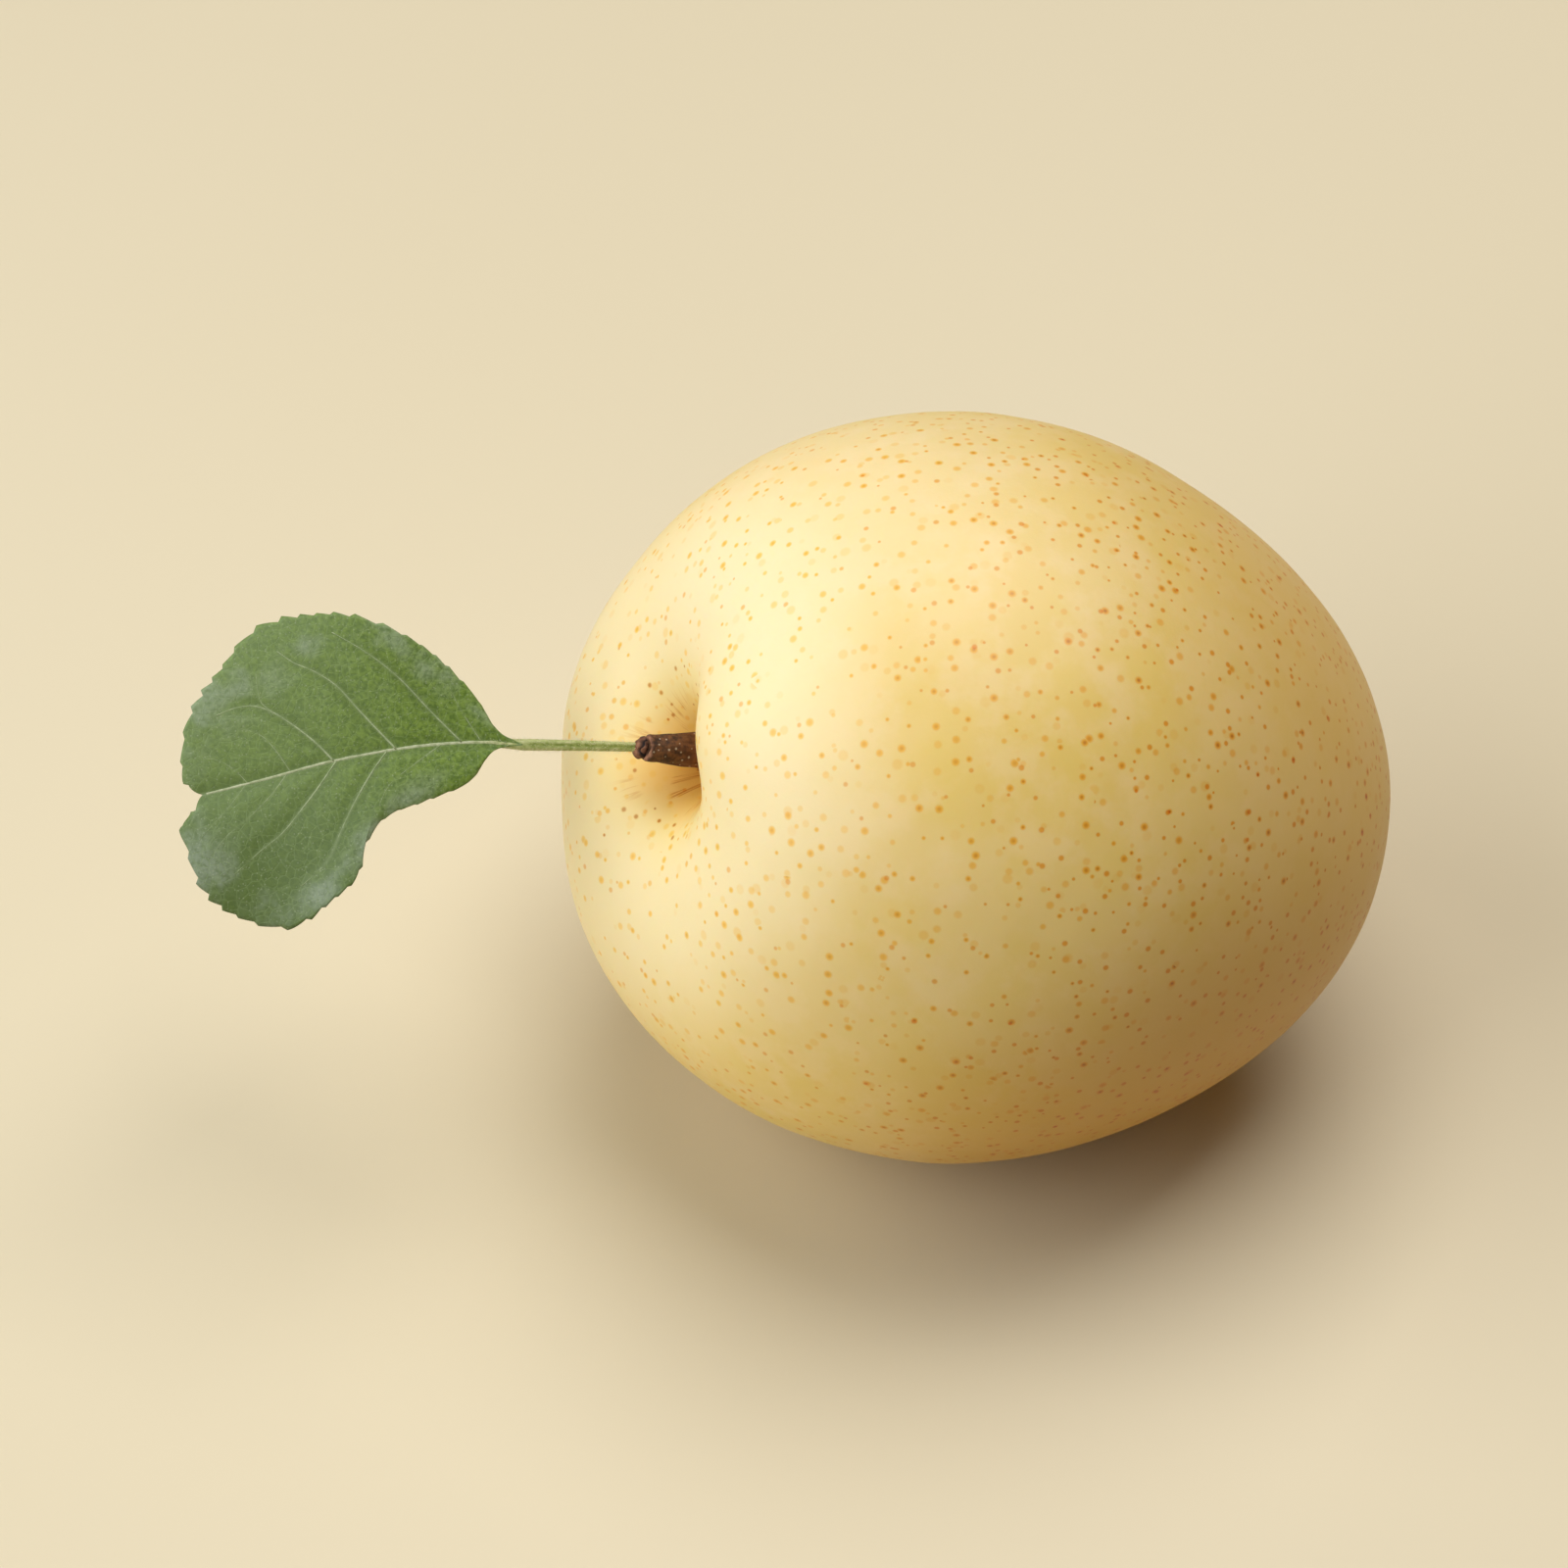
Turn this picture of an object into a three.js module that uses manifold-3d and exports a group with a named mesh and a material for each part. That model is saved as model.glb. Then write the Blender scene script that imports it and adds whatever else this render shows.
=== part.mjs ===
// A nashi pear lying on its side, with its woody stem and one leaf.
// Millimetres, +Z up. The origin is the middle of the flat spot that the fruit rests on.
import * as THREE from "three";
import { mergeVertices } from "three/addons/utils/BufferGeometryUtils.js";
import Module from "manifold-3d";

const wasm = await Module();
wasm.setup();

const DEGREE = Math.PI / 180;

// How the pear lies: its axis leans from upright, then turns to point left and a little forward,
// and the skin sinks below the ground by as much as the flat spot takes off
const AXIS_LEAN = 65 * DEGREE;
const AXIS_TURN = -162 * DEGREE;
const REST_SINK = 0.8;
const GROUND_WIDTH = 200;
const GROUND_DEPTH = 50;
const SEARCH_STEPS = 180;

// Fruit skin, as distances from the middle of the fruit
const GIRTH = 44;
const STEM_POLE = 41.6;
const CALYX_POLE = 56.8;
const FULLNESS = 1.86;
const FULLNESS_GAIN = 0.17;
const SHOULDER_TILT = 3.5;
const SHOULDER_LOW_AT = 137 * DEGREE;
const OVAL = 0.9;
const OVAL_AT = 130 * DEGREE;

// Hollows at the two ends, each a depth and a width, which is an angle at the middle of the fruit;
// the dish round the stem is oval
const CAVITY_DISH = { depth: 6.2, width: 0.335 };
const CAVITY_OVAL = 0.42;
const CAVITY_LONG_AT = 235 * DEGREE;
const CAVITY_FUNNEL = { depth: 7.5, width: 0.17 };
const CALYX_BASIN = { depth: 10, width: 0.3 };
const CALYX_EYE = { depth: 3, width: 0.12 };

// Soft lobes round the stem shoulder
const LOBES = 5;
const LOBE_BULGE = { depth: 0.3, width: 0.3 };
const LOBE_POLAR = 0.55;

// Mesh of the fruit: rings from pole to pole, crowded towards the poles
const FRUIT_RINGS = 38;
const FRUIT_SIDES = 60;
const POLE_CROWDING = 0.6;

// Stem: it stands in the cavity a little off the axis of the fruit, its foot more than its tip
const STEM_FOOT = 24.5;
const STEM_TIP = 39.1;
const STEM_FOOT_SHIFT = 1.6;
const STEM_TIP_SHIFT = 0.75;
const STEM_SHIFT_AT = 220 * DEGREE;
const STEM_FOOT_RADIUS = 2.4;
const STEM_TAPER_POWER = 1.8;
const STEM_WAIST_RADIUS = 1.35;
const STEM_TIP_RADIUS = 1.5;
const STEM_RINGS = 14;
const STEM_SIDES = 20;
const BARK_RIDGE = 0.05;
const BARK_FURROWS = 5;
const BARK_TWIST = 2;
const TIP_FLARE_POWER = 8;
const TIP_RIM = 0.7;
const TIP_RISE = 0.25;
const TIP_PIT = 0.3;

// Knob beside the broken tip, which the leaf grows from
const KNOB_RADIUS = 1.15;
const KNOB_OFFSET = 1.1;
const KNOB_RISE = 0.25;
const KNOB_AT = 310 * DEGREE;
const KNOB_SIDES = 14;

// Room left between pieces
const GAP = 0.3;

// Blade, drawn in its own plane: x from the foot of the blade to its tip, y up, z out of its face.
// The foot is placed from the middle of the fruit, in axes that are tipped as the blade is
const BLADE_PITCH = 44 * DEGREE;
const BLADE_FOOT = new THREE.Vector3(-50, 5.2, 21.5);
const BLADE_THICKNESS = 0.64;
const MIDRIB = [[0, 0], [8.5, -0.6], [18.5, -2.3], [26.1, -4.3], [31.7, -5.7], [33.4, -6.1]];
const UPPER_MARGIN = [
  [0, 0.6], [2.8, 5], [8.8, 10.6], [15.9, 13.6], [20.5, 13.9], [27.3, 12.1],
  [31.4, 7.4], [34.8, 2], [35.5, -3.4], [34.9, -5], [33.4, -6.1],
];
const LOWER_MARGIN = [
  [0, -0.6], [3.2, -4.5], [8.2, -6.7], [12.6, -8.5], [14.8, -11.3], [15.8, -15.1],
  [18.8, -17.9], [23.5, -20.7], [29.4, -19.5], [33, -16.5],
  [34.8, -12.3], [35.6, -9.7], [34.35, -8.3], [33.4, -6.1],
];

// Teeth of the margin, which lean towards the tip of the leaf and grow from the foot of the blade
// to a share of its length
const TEETH = 24;
const TOOTH_DEPTH = 0.5;
const TOOTH_STEPS = [0, 0.4, 0.8];
const UPPER_TEETH_FROM = 0.55;
const LOWER_TEETH_FROM = 0.75;
const TOOTH_FADE_TIP = 0.04;
const ROW_STEPS = 5;

// Shape of the blade out of its plane
const DROOP = 0.0016;
const FOLD = 0.07;
const WAVE_REACH = 15;
const UPPER_WAVE = { height: 0.5, count: 1.6, crest: 0.3 };
const LOWER_WAVE = { height: 1, count: 2, crest: 0.42 };

// Leaf stalk, which runs on under the blade as its midrib
const STALK_START_RADIUS = 0.5;
const STALK_FOOT_RADIUS = 0.66;
const STALK_BEND = new THREE.Vector3(-7, 0.2, 2.6);
const STALK_STEPS = 12;
const STALK_SIDES = 10;
const RIB_END_RADIUS = 0.3;
const RIB_DROP = 0.25;
const RIB_REACH = 0.9;
const RIB_STEPS = 20;

const SKIN = new THREE.MeshStandardMaterial({ color: 0xecd493, roughness: 0.5, metalness: 0 });
const BARK = new THREE.MeshStandardMaterial({ color: 0x523018, roughness: 0.85, metalness: 0 });
const GREEN = new THREE.MeshStandardMaterial({ color: 0x6f8454, roughness: 0.6, metalness: 0 });

// The solid of a closed geometry, and the geometry of a solid
function solidOf(geometry) {
  const bare = geometry.clone();
  bare.deleteAttribute("normal");
  bare.deleteAttribute("uv");
  const merged = mergeVertices(bare);
  const { position } = merged.attributes;
  return new wasm.Manifold(
    new wasm.Mesh({
      numProp: 3,
      vertProperties: new Float32Array(position.array),
      triVerts: new Uint32Array(merged.index.array),
    }),
  );
}

function geometryOf(solid) {
  const mesh = solid.getMesh();
  const geometry = new THREE.BufferGeometry();
  geometry.setAttribute("position", new THREE.BufferAttribute(mesh.vertProperties, 3));
  geometry.setIndex(new THREE.BufferAttribute(mesh.triVerts, 1));
  geometry.computeVertexNormals();
  return geometry;
}

// A closed skin over rings of points that turn to the right-hand rule about the way they follow
// each other, with a point at either end
function loft(first, rings, last) {
  const sides = rings[0].length;
  const points = [first, ...rings.flat(), last];
  const end = points.length - 1;
  const at = (ring, side) => 1 + ring * sides + (side % sides);
  const index = [];
  for (let side = 0; side < sides; side++) {
    index.push(0, at(0, side + 1), at(0, side));
    index.push(end, at(rings.length - 1, side), at(rings.length - 1, side + 1));
    for (let ring = 0; ring + 1 < rings.length; ring++) {
      index.push(at(ring, side), at(ring, side + 1), at(ring + 1, side + 1));
      index.push(at(ring, side), at(ring + 1, side + 1), at(ring + 1, side));
    }
  }
  return new THREE.BufferGeometry().setFromPoints(points).setIndex(index);
}

// A point in the fruit's frame, by its distance from the axis, the way round and the height
function onAxis(radius, around, height) {
  return new THREE.Vector3(radius * Math.cos(around), radius * Math.sin(around), height);
}

const bell = (x, { depth, width }) => depth * Math.exp(-((x / width) ** 2));

// Distance from the middle of the fruit to its skin; polar is 0 at the stem and PI at the calyx
function skinRadius(polar, around) {
  const along = Math.cos(polar);
  const out = Math.sin(polar);
  const pole = (STEM_POLE + CALYX_POLE + along * (STEM_POLE - CALYX_POLE)) / 2;
  const power = FULLNESS + FULLNESS_GAIN * along;
  const round = ((Math.abs(along) / pole) ** power + (out / GIRTH) ** power) ** (-1 / power);
  const tilt = SHOULDER_TILT * out * along * Math.cos(around - SHOULDER_LOW_AT);
  const oval = OVAL * out ** 2 * Math.cos(2 * (around - OVAL_AT));
  const lobes = bell(polar - LOBE_POLAR, LOBE_BULGE) * Math.cos(LOBES * around);
  const widening = 1 + CAVITY_OVAL * Math.cos(2 * (around - CAVITY_LONG_AT));
  const cavity = bell(polar / widening, CAVITY_DISH) + bell(polar, CAVITY_FUNNEL);
  const calyx = bell(Math.PI - polar, CALYX_BASIN) + bell(Math.PI - polar, CALYX_EYE);
  return round - tilt + oval + lobes - cavity - calyx;
}

function skinPoint(polar, around) {
  const radius = skinRadius(polar, around);
  return onAxis(radius * Math.sin(polar), around, radius * Math.cos(polar));
}

function fruitBody() {
  const rings = [];
  for (let ring = 1; ring < FRUIT_RINGS; ring++) {
    const share = ring / FRUIT_RINGS;
    const crowding = (POLE_CROWDING * Math.sin(2 * Math.PI * share)) / (2 * Math.PI);
    const polar = Math.PI * (1 - share + crowding);
    const sides = Array.from({ length: FRUIT_SIDES }, (_, i) => (2 * Math.PI * i) / FRUIT_SIDES);
    rings.push(sides.map((around) => skinPoint(polar, around)));
  }
  return loft(skinPoint(Math.PI, 0), rings, skinPoint(0, 0));
}

// The lowest point of the skin, from the middle of the fruit, as the pear lies
function lowestPoint(rotation) {
  const step = Math.PI / SEARCH_STEPS;
  let lowest = new THREE.Vector3();
  for (let i = 0; i < SEARCH_STEPS; i++) {
    for (let j = 0; j < 2 * SEARCH_STEPS; j++) {
      const point = skinPoint(i * step, j * step).applyEuler(rotation);
      if (point.z < lowest.z) lowest = point;
    }
  }
  return lowest;
}

// Radius of the stem at a share of its height: wide at its foot, flared at its broken tip
function stemRadius(share) {
  const taper = (STEM_FOOT_RADIUS - STEM_WAIST_RADIUS) * (1 - share ** STEM_TAPER_POWER);
  const flare = (STEM_TIP_RADIUS - STEM_WAIST_RADIUS) * share ** TIP_FLARE_POWER;
  return STEM_WAIST_RADIUS + taper + flare;
}

// Middle of the stem at a share of its height
function stemAxis(share) {
  const shift = THREE.MathUtils.lerp(STEM_FOOT_SHIFT, STEM_TIP_SHIFT, share);
  return onAxis(shift, STEM_SHIFT_AT, THREE.MathUtils.lerp(STEM_FOOT, STEM_TIP, share));
}

// The stem, or with room the space it needs in the fruit
function stemBody(room = 0) {
  const ringAt = (share, rise, scale) =>
    Array.from({ length: STEM_SIDES }, (_, i) => {
      const around = (2 * Math.PI * i) / STEM_SIDES;
      const bark = 1 + BARK_RIDGE * Math.cos(BARK_FURROWS * around + BARK_TWIST * share);
      return onAxis((stemRadius(share) * bark + room) * scale, around, rise).add(stemAxis(share));
    });
  const rings = [];
  for (let ring = 0; ring <= STEM_RINGS; ring++) {
    const share = ring / STEM_RINGS;
    rings.push(ringAt(share, -room * (1 - share), 1));
  }
  rings.push(ringAt(1, TIP_RISE, TIP_RIM));
  const foot = onAxis(0, 0, -room).add(stemAxis(0));
  return loft(foot, rings, onAxis(0, 0, -TIP_PIT).add(stemAxis(1)));
}

function knobMiddle() {
  return onAxis(KNOB_OFFSET, KNOB_AT, KNOB_RISE).add(stemAxis(1));
}

function stemKnob() {
  const { x, y, z } = knobMiddle();
  return new THREE.SphereGeometry(KNOB_RADIUS, KNOB_SIDES, KNOB_SIDES / 2).translate(x, y, z);
}

const bladeCurve = (points) =>
  new THREE.CatmullRomCurve3(points.map(([x, y]) => new THREE.Vector3(-x, y, 0)));
const midrib = bladeCurve(MIDRIB);
const upper = {
  margin: bladeCurve(UPPER_MARGIN), wave: UPPER_WAVE, teethFrom: UPPER_TEETH_FROM, outward: -1,
};
const lower = {
  margin: bladeCurve(LOWER_MARGIN), wave: LOWER_WAVE, teethFrom: LOWER_TEETH_FROM, outward: 1,
};

// How far the margin stands out at a share of its length: a saw that falls back past each tip
function tooth(share, teethFrom) {
  const phase = (share * TEETH) % 1;
  const top = TOOTH_STEPS.at(-1);
  const saw = phase <= top ? phase / top : (1 - phase) / (1 - top);
  const growth = Math.min(1, share / teethFrom);
  return TOOTH_DEPTH * saw * Math.min(growth, (1 - share) / TOOTH_FADE_TIP);
}

// A point halfway through the blade, at a share of its length and a share of the way to its margin
function bladePoint({ margin, wave, teethFrom, outward }, share, across) {
  const point = midrib.getPointAt(share);
  const edge = margin.getPointAt(share);
  const run = margin.getTangentAt(share);
  const reach = edge.distanceTo(point) * across;
  point.lerp(edge, across);
  if (across === 1) {
    point.addScaledVector(new THREE.Vector3(-run.y, run.x, 0), outward * tooth(share, teethFrom));
  }
  const ripple = Math.cos(2 * Math.PI * wave.count * (share - wave.crest));
  const lift = FOLD * reach + wave.height * ripple * (reach / WAVE_REACH) ** 2;
  return point.setZ(lift - DROOP * point.x ** 2);
}

// One row across the blade, from the lower margin over the midrib to the upper margin
function bladeRow(share) {
  const row = [];
  for (let step = -ROW_STEPS; step <= ROW_STEPS; step++) {
    row.push(bladePoint(step < 0 ? lower : upper, share, Math.abs(step) / ROW_STEPS));
  }
  return row;
}

// The blade as two faces with the same triangles, and a rim
function bladeBody() {
  const rows = [];
  for (let place = 0; place < TEETH; place++) {
    for (const step of TOOTH_STEPS) rows.push(bladeRow((place + step) / TEETH));
  }
  const width = rows[0].length;
  const middle = [...rows.flat(), midrib.getPointAt(1).setZ(bladePoint(upper, 1, 0).z)];
  const count = middle.length;
  const tip = count - 1;
  const lift = new THREE.Vector3(0, 0, BLADE_THICKNESS / 2);
  const points = [
    ...middle.map((point) => point.clone().add(lift)),
    ...middle.map((point) => point.clone().sub(lift)),
  ];
  const index = [];
  const faces = (a, b, c) => index.push(a, b, c, count + a, count + c, count + b);
  const rim = (a, b) => index.push(a, count + a, count + b, a, count + b, b);
  for (let row = 0; row + 1 < rows.length; row++) {
    const start = row * width;
    const next = start + width;
    for (let step = 0; step + 1 < width; step++) {
      faces(start + step, start + step + 1, next + step + 1);
      faces(start + step, next + step + 1, next + step);
    }
    rim(next, start);
    rim(start + width - 1, next + width - 1);
  }
  const last = tip - width;
  for (let step = 0; step + 1 < width; step++) {
    faces(last + step, last + step + 1, tip);
    rim(step, step + 1);
  }
  rim(tip, last);
  rim(tip - 1, tip);
  return new THREE.BufferGeometry().setFromPoints(points).setIndex(index);
}

// Middle line of the leaf stalk from the knob to the blade
function stalkCurve(start) {
  const bend = start.clone().add(STALK_BEND);
  return new THREE.QuadraticBezierCurve3(start, bend, new THREE.Vector3(0, 0, -RIB_DROP));
}

// A round bar along points that run to the left, with a radius at each
function bar(points, radii) {
  const rings = points.map((point, i) => {
    const before = points[Math.max(i - 1, 0)];
    const after = points[Math.min(i + 1, points.length - 1)];
    const run = after.clone().sub(before).normalize();
    const side = new THREE.Vector3(0, 0, 1).cross(run).normalize();
    const top = run.clone().cross(side);
    return Array.from({ length: STALK_SIDES }, (_, j) => {
      const angle = (2 * Math.PI * j) / STALK_SIDES;
      const ring = side.clone().multiplyScalar(radii[i] * Math.cos(angle));
      return ring.addScaledVector(top, radii[i] * Math.sin(angle)).add(point);
    });
  });
  return loft(points[0], rings, points.at(-1));
}

// The stalk and the midrib in one bar
function stalkBody(start) {
  const points = stalkCurve(start).getPoints(STALK_STEPS);
  const radii = points.map((_, i) =>
    THREE.MathUtils.lerp(STALK_START_RADIUS, STALK_FOOT_RADIUS, i / STALK_STEPS),
  );
  for (let step = 1; step <= RIB_STEPS; step++) {
    const point = bladePoint(upper, (RIB_REACH * step) / RIB_STEPS, 0);
    points.push(point.setZ(point.z - RIB_DROP));
    radii.push(THREE.MathUtils.lerp(STALK_FOOT_RADIUS, RIB_END_RADIUS, step / RIB_STEPS));
  }
  return bar(points, radii);
}

// The space that the stalk needs in the knob
function stalkRoom(start) {
  const points = stalkCurve(start).getPoints(STALK_STEPS).slice(0, STALK_STEPS / 2);
  const behind = points[0].clone().sub(points[1]).setLength(GAP);
  points[0].add(behind);
  return bar(points, points.map(() => STALK_START_RADIUS + GAP));
}

const pear = new THREE.Group();
pear.rotation.set(0, AXIS_LEAN, AXIS_TURN, "ZYX");
pear.position.copy(lowestPoint(pear.rotation)).negate();
pear.position.z -= REST_SINK;

const leafFrame = new THREE.Group();
leafFrame.position.copy(pear.position);
leafFrame.rotation.x = BLADE_PITCH;
const leaf = new THREE.Mesh(undefined, GREEN);
leaf.name = "leaf";
leaf.position.copy(BLADE_FOOT);
leafFrame.add(leaf);

const nashi = new THREE.Group();
nashi.add(pear, leafFrame);
nashi.updateMatrixWorld(true);

const fruitToLeaf = leaf.matrixWorld.clone().invert().multiply(pear.matrixWorld);
const leafToFruit = fruitToLeaf.clone().invert();
const worldToFruit = pear.matrixWorld.clone().invert();

// Everything below the ground, which the resting fruit loses
const ground = new THREE.BoxGeometry(GROUND_WIDTH, GROUND_WIDTH, GROUND_DEPTH)
  .translate(0, 0, -GROUND_DEPTH / 2)
  .applyMatrix4(worldToFruit);

const fruit = new THREE.Mesh(
  geometryOf(solidOf(fruitBody()).subtract(solidOf(ground)).subtract(solidOf(stemBody(GAP)))),
  SKIN,
);
fruit.name = "fruit";

const stalkStart = knobMiddle().applyMatrix4(fruitToLeaf);
const socket = stalkRoom(stalkStart).applyMatrix4(leafToFruit);
const stem = new THREE.Mesh(
  geometryOf(solidOf(stemBody()).add(solidOf(stemKnob())).subtract(solidOf(socket))),
  BARK,
);
stem.name = "stem";
pear.add(fruit, stem);

leaf.geometry = geometryOf(solidOf(bladeBody()).add(solidOf(stalkBody(stalkStart))));

export default nashi;
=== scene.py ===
import math
import random

import bpy
import numpy as np
from mathutils import Matrix, Vector, noise


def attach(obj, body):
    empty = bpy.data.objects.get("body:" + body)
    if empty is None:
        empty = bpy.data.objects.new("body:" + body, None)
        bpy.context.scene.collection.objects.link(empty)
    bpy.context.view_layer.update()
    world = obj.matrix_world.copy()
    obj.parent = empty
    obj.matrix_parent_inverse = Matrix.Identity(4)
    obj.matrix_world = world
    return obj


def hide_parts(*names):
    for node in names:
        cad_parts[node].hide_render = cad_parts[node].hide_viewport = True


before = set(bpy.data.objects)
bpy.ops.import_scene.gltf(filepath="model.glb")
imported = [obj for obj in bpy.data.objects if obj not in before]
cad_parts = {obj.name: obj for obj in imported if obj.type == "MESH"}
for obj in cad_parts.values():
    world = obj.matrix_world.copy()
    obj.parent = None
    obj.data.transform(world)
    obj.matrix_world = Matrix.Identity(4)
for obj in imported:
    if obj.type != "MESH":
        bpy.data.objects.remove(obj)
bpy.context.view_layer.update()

# A nashi pear with its stem and one leaf. Shapes are worked out in millimetres in two frames of
# their own, the fruit's and the blade's, and set in the model's frame in metres.
MM = 0.001
TURN = 2 * math.pi

# How the pear lies
AXIS_LEAN = math.radians(65)
AXIS_TURN = math.radians(-162)
REST_SINK = 0.8
SEARCH_STEPS = 180

# Fruit skin, as distances from the middle of the fruit. A swell or dent has a height and a width, the
# width as an angle at the middle; lumps have a size and a height.
GIRTH = 44
STEM_POLE = 41.6
CALYX_POLE = 56.8
FULLNESS = 1.86
FULLNESS_GAIN = 0.17
SHOULDER_TILT = 3.5
SHOULDER_LOW_AT = math.radians(137)
OVAL = 0.9
OVAL_AT = math.radians(130)
CAVITY_DISH = (6.2, 0.335)
CAVITY_OVAL = 0.42
CAVITY_LONG_AT = math.radians(235)
CAVITY_FUNNEL = (7.5, 0.17)
CALYX_BASIN = (10, 0.3)
CALYX_EYE = (3, 0.12)
LOBES = 5
LOBE_BULGE = (0.3, 0.3)
LOBE_POLAR = 0.55
SKIN_LUMPS = ((13, 0.14), (5.5, 0.05))
FRUIT_RINGS = 296
FRUIT_SIDES = 320
POLE_CROWDING = 0.6
# Way of the lower front side, which is painted browner as painted shade
SHADE_SIDE_WAY = (0.5, -0.7, -0.5)
# Way of the upper side, which is painted paler as painted light
LIT_SIDE_WAY = (-0.3, 0.15, 0.94)
SCAR_WIDTH = 0.13
SCAR_LOBES = 0.1
SCAR_RAGGED = 0.2
SCAR_LUMP = 1.6
SCAR_RING = 0.075
SCAR_RIM = (0.55, 0.024)
SCAR_HOLLOW = (2.4, 0.036)
CALM_WIDTH = 0.2
STEM_END_WIDTH = 0.3
STREAKS_ROUND = 5
STREAKS_DOWN = 2

# Stem
STEM_FOOT = 24.5
STEM_TIP = 39.1
STEM_FOOT_SHIFT = 1.6
STEM_TIP_SHIFT = 0.75
STEM_SHIFT_AT = math.radians(220)
STEM_FOOT_RADIUS = 2.4
STEM_TAPER_POWER = 1.8
STEM_WAIST_RADIUS = 1.35
STEM_TIP_RADIUS = 1.5
TIP_FLARE_POWER = 8
FACE_INWARD = np.array([0.93, 0.8, 0.6, 0.4, 0.2])
FACE_RISE = np.array([0.12, 0.16, 0.02, -0.2, -0.35])
BARK_STEP = 0.08
KNOB_OFFSET = 1.1
KNOB_RISE = 0.25
KNOB_AT = math.radians(310)
KNOB_HALF_SIZES = (0.95, 1.35, 0.85)
KNOB_LEAN = math.radians(20)
LEAST_REACH = 0.1
BARK_FURROW_SIZE = 0.55
BARK_FURROW_STRETCH = 4
BARK_FURROW_HEIGHT = 0.1
BARK_LUMP = 1.5
BARK_LUMP_HEIGHT = 0.1
BARK_SEED = 5.0
FACE_BAND = 0.15
FACE_BLEND = 0.2
FACE_GRAIN = 0.5
FACE_GRAIN_HEIGHT = 0.16
FACE_SEED = 9.0
CREVICE_AT = 0.45
CREVICE_WAVER = 0.15
CREVICE_WIDTH = 0.16
CREVICE_DEPTH = 0.5
CREVICE_SHADE = 1.3
WOOD_RADIUS = 1.55
WOOD_BLEND = 0.25

# Leaf: x from the foot of the blade to its tip, y up the blade, z out of its upper face. The blade
# begins as a narrow tongue on the stalk, before its foot. A wave of its halves has a height, the count
# of its crests and the share of the length where one is.
BLADE_PITCH = math.radians(44)
BLADE_FOOT = Vector((-50, 5.2, 21.5))
BLADE_THICKNESS = 0.4
MIDRIB = [
    (-2.6, -0.5), (-0.8, -0.38), (1.5, -0.22), (8.5, -0.6),
    (18.5, -2.3), (26.1, -4.3), (31.7, -5.7), (33.4, -6.1),
]
UPPER_MARGIN = [
    (-2.6, -0.42), (-1.3, 0.15), (-0.3, 0.7), (0.6, 1.6), (1.5, 3.05),
    (2.8, 5), (8.8, 10.6), (15.9, 13.6), (20.5, 13.9), (27.3, 12.1),
    (31.4, 7.4), (34.8, 2), (35.5, -3.4), (34.9, -5), (33.4, -6.1),
]
LOWER_MARGIN = [
    (-2.6, -0.58), (-0.8, -0.75), (0.1, -0.95), (0.75, -1.3), (1.6, -2.3), (3.2, -4.5),
    (8.2, -6.7), (12.6, -8.5), (14.8, -11.3), (15.8, -15.1), (18.8, -17.9), (23.5, -20.7),
    (29.4, -19.5), (33, -16.5), (34.8, -12.3), (35.6, -9.7), (34.35, -8.3), (33.4, -6.1),
]
LEAF_LENGTH = 35.7
TEETH = 24
TOOTH_DEPTH = 0.43
TOOTH_UNEVEN = 0.35
TOOTH_RHYTHM = 5
TOOTH_DRIFT = 0.3
TOOTH_DRIFT_TURNS = 4
TOOTH_TOP = 0.8
TOOTH_FADE_TIP = 0.04
DROOP = 0.0016
FOLD = 0.07
WAVE_REACH = 15
UPPER_WAVE = (0.5, 1.6, 0.3)
LOWER_WAVE = (1.0, 2, 0.42)
UPPER_TEETH_FROM = 0.55
LOWER_TEETH_FROM = 0.75
TOOTH_ROWS = 10
EVEN_STEPS = 2000
BLADE_STEPS = 44
BLADE_END = 0.9985
TOOTH_REACH_POWER = 14
SWELL = 0.15
SWELL_POWER = 6
PUCKER_SIZE = 1.2
PUCKER_HEIGHT = 0.03
EDGE_THINNING = 0.55
EDGE_POWER = 12
FULL_VEIN = 0.2
LINE_WIDTH = 0.17
FURROW_WIDTH = 1.3
TRACE_STEPS = 36
VEIN_FADE_POWER = 4
VEIN_TAPER = 0.6
VEIN_SINK = 0.4
VEIN_SINK_GAIN = 0.5
UNDER_VEIN = 1.4
LIFT_REACH = 3
VEIN_STEPS = 40
VEIN_SIDES = 8

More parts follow.
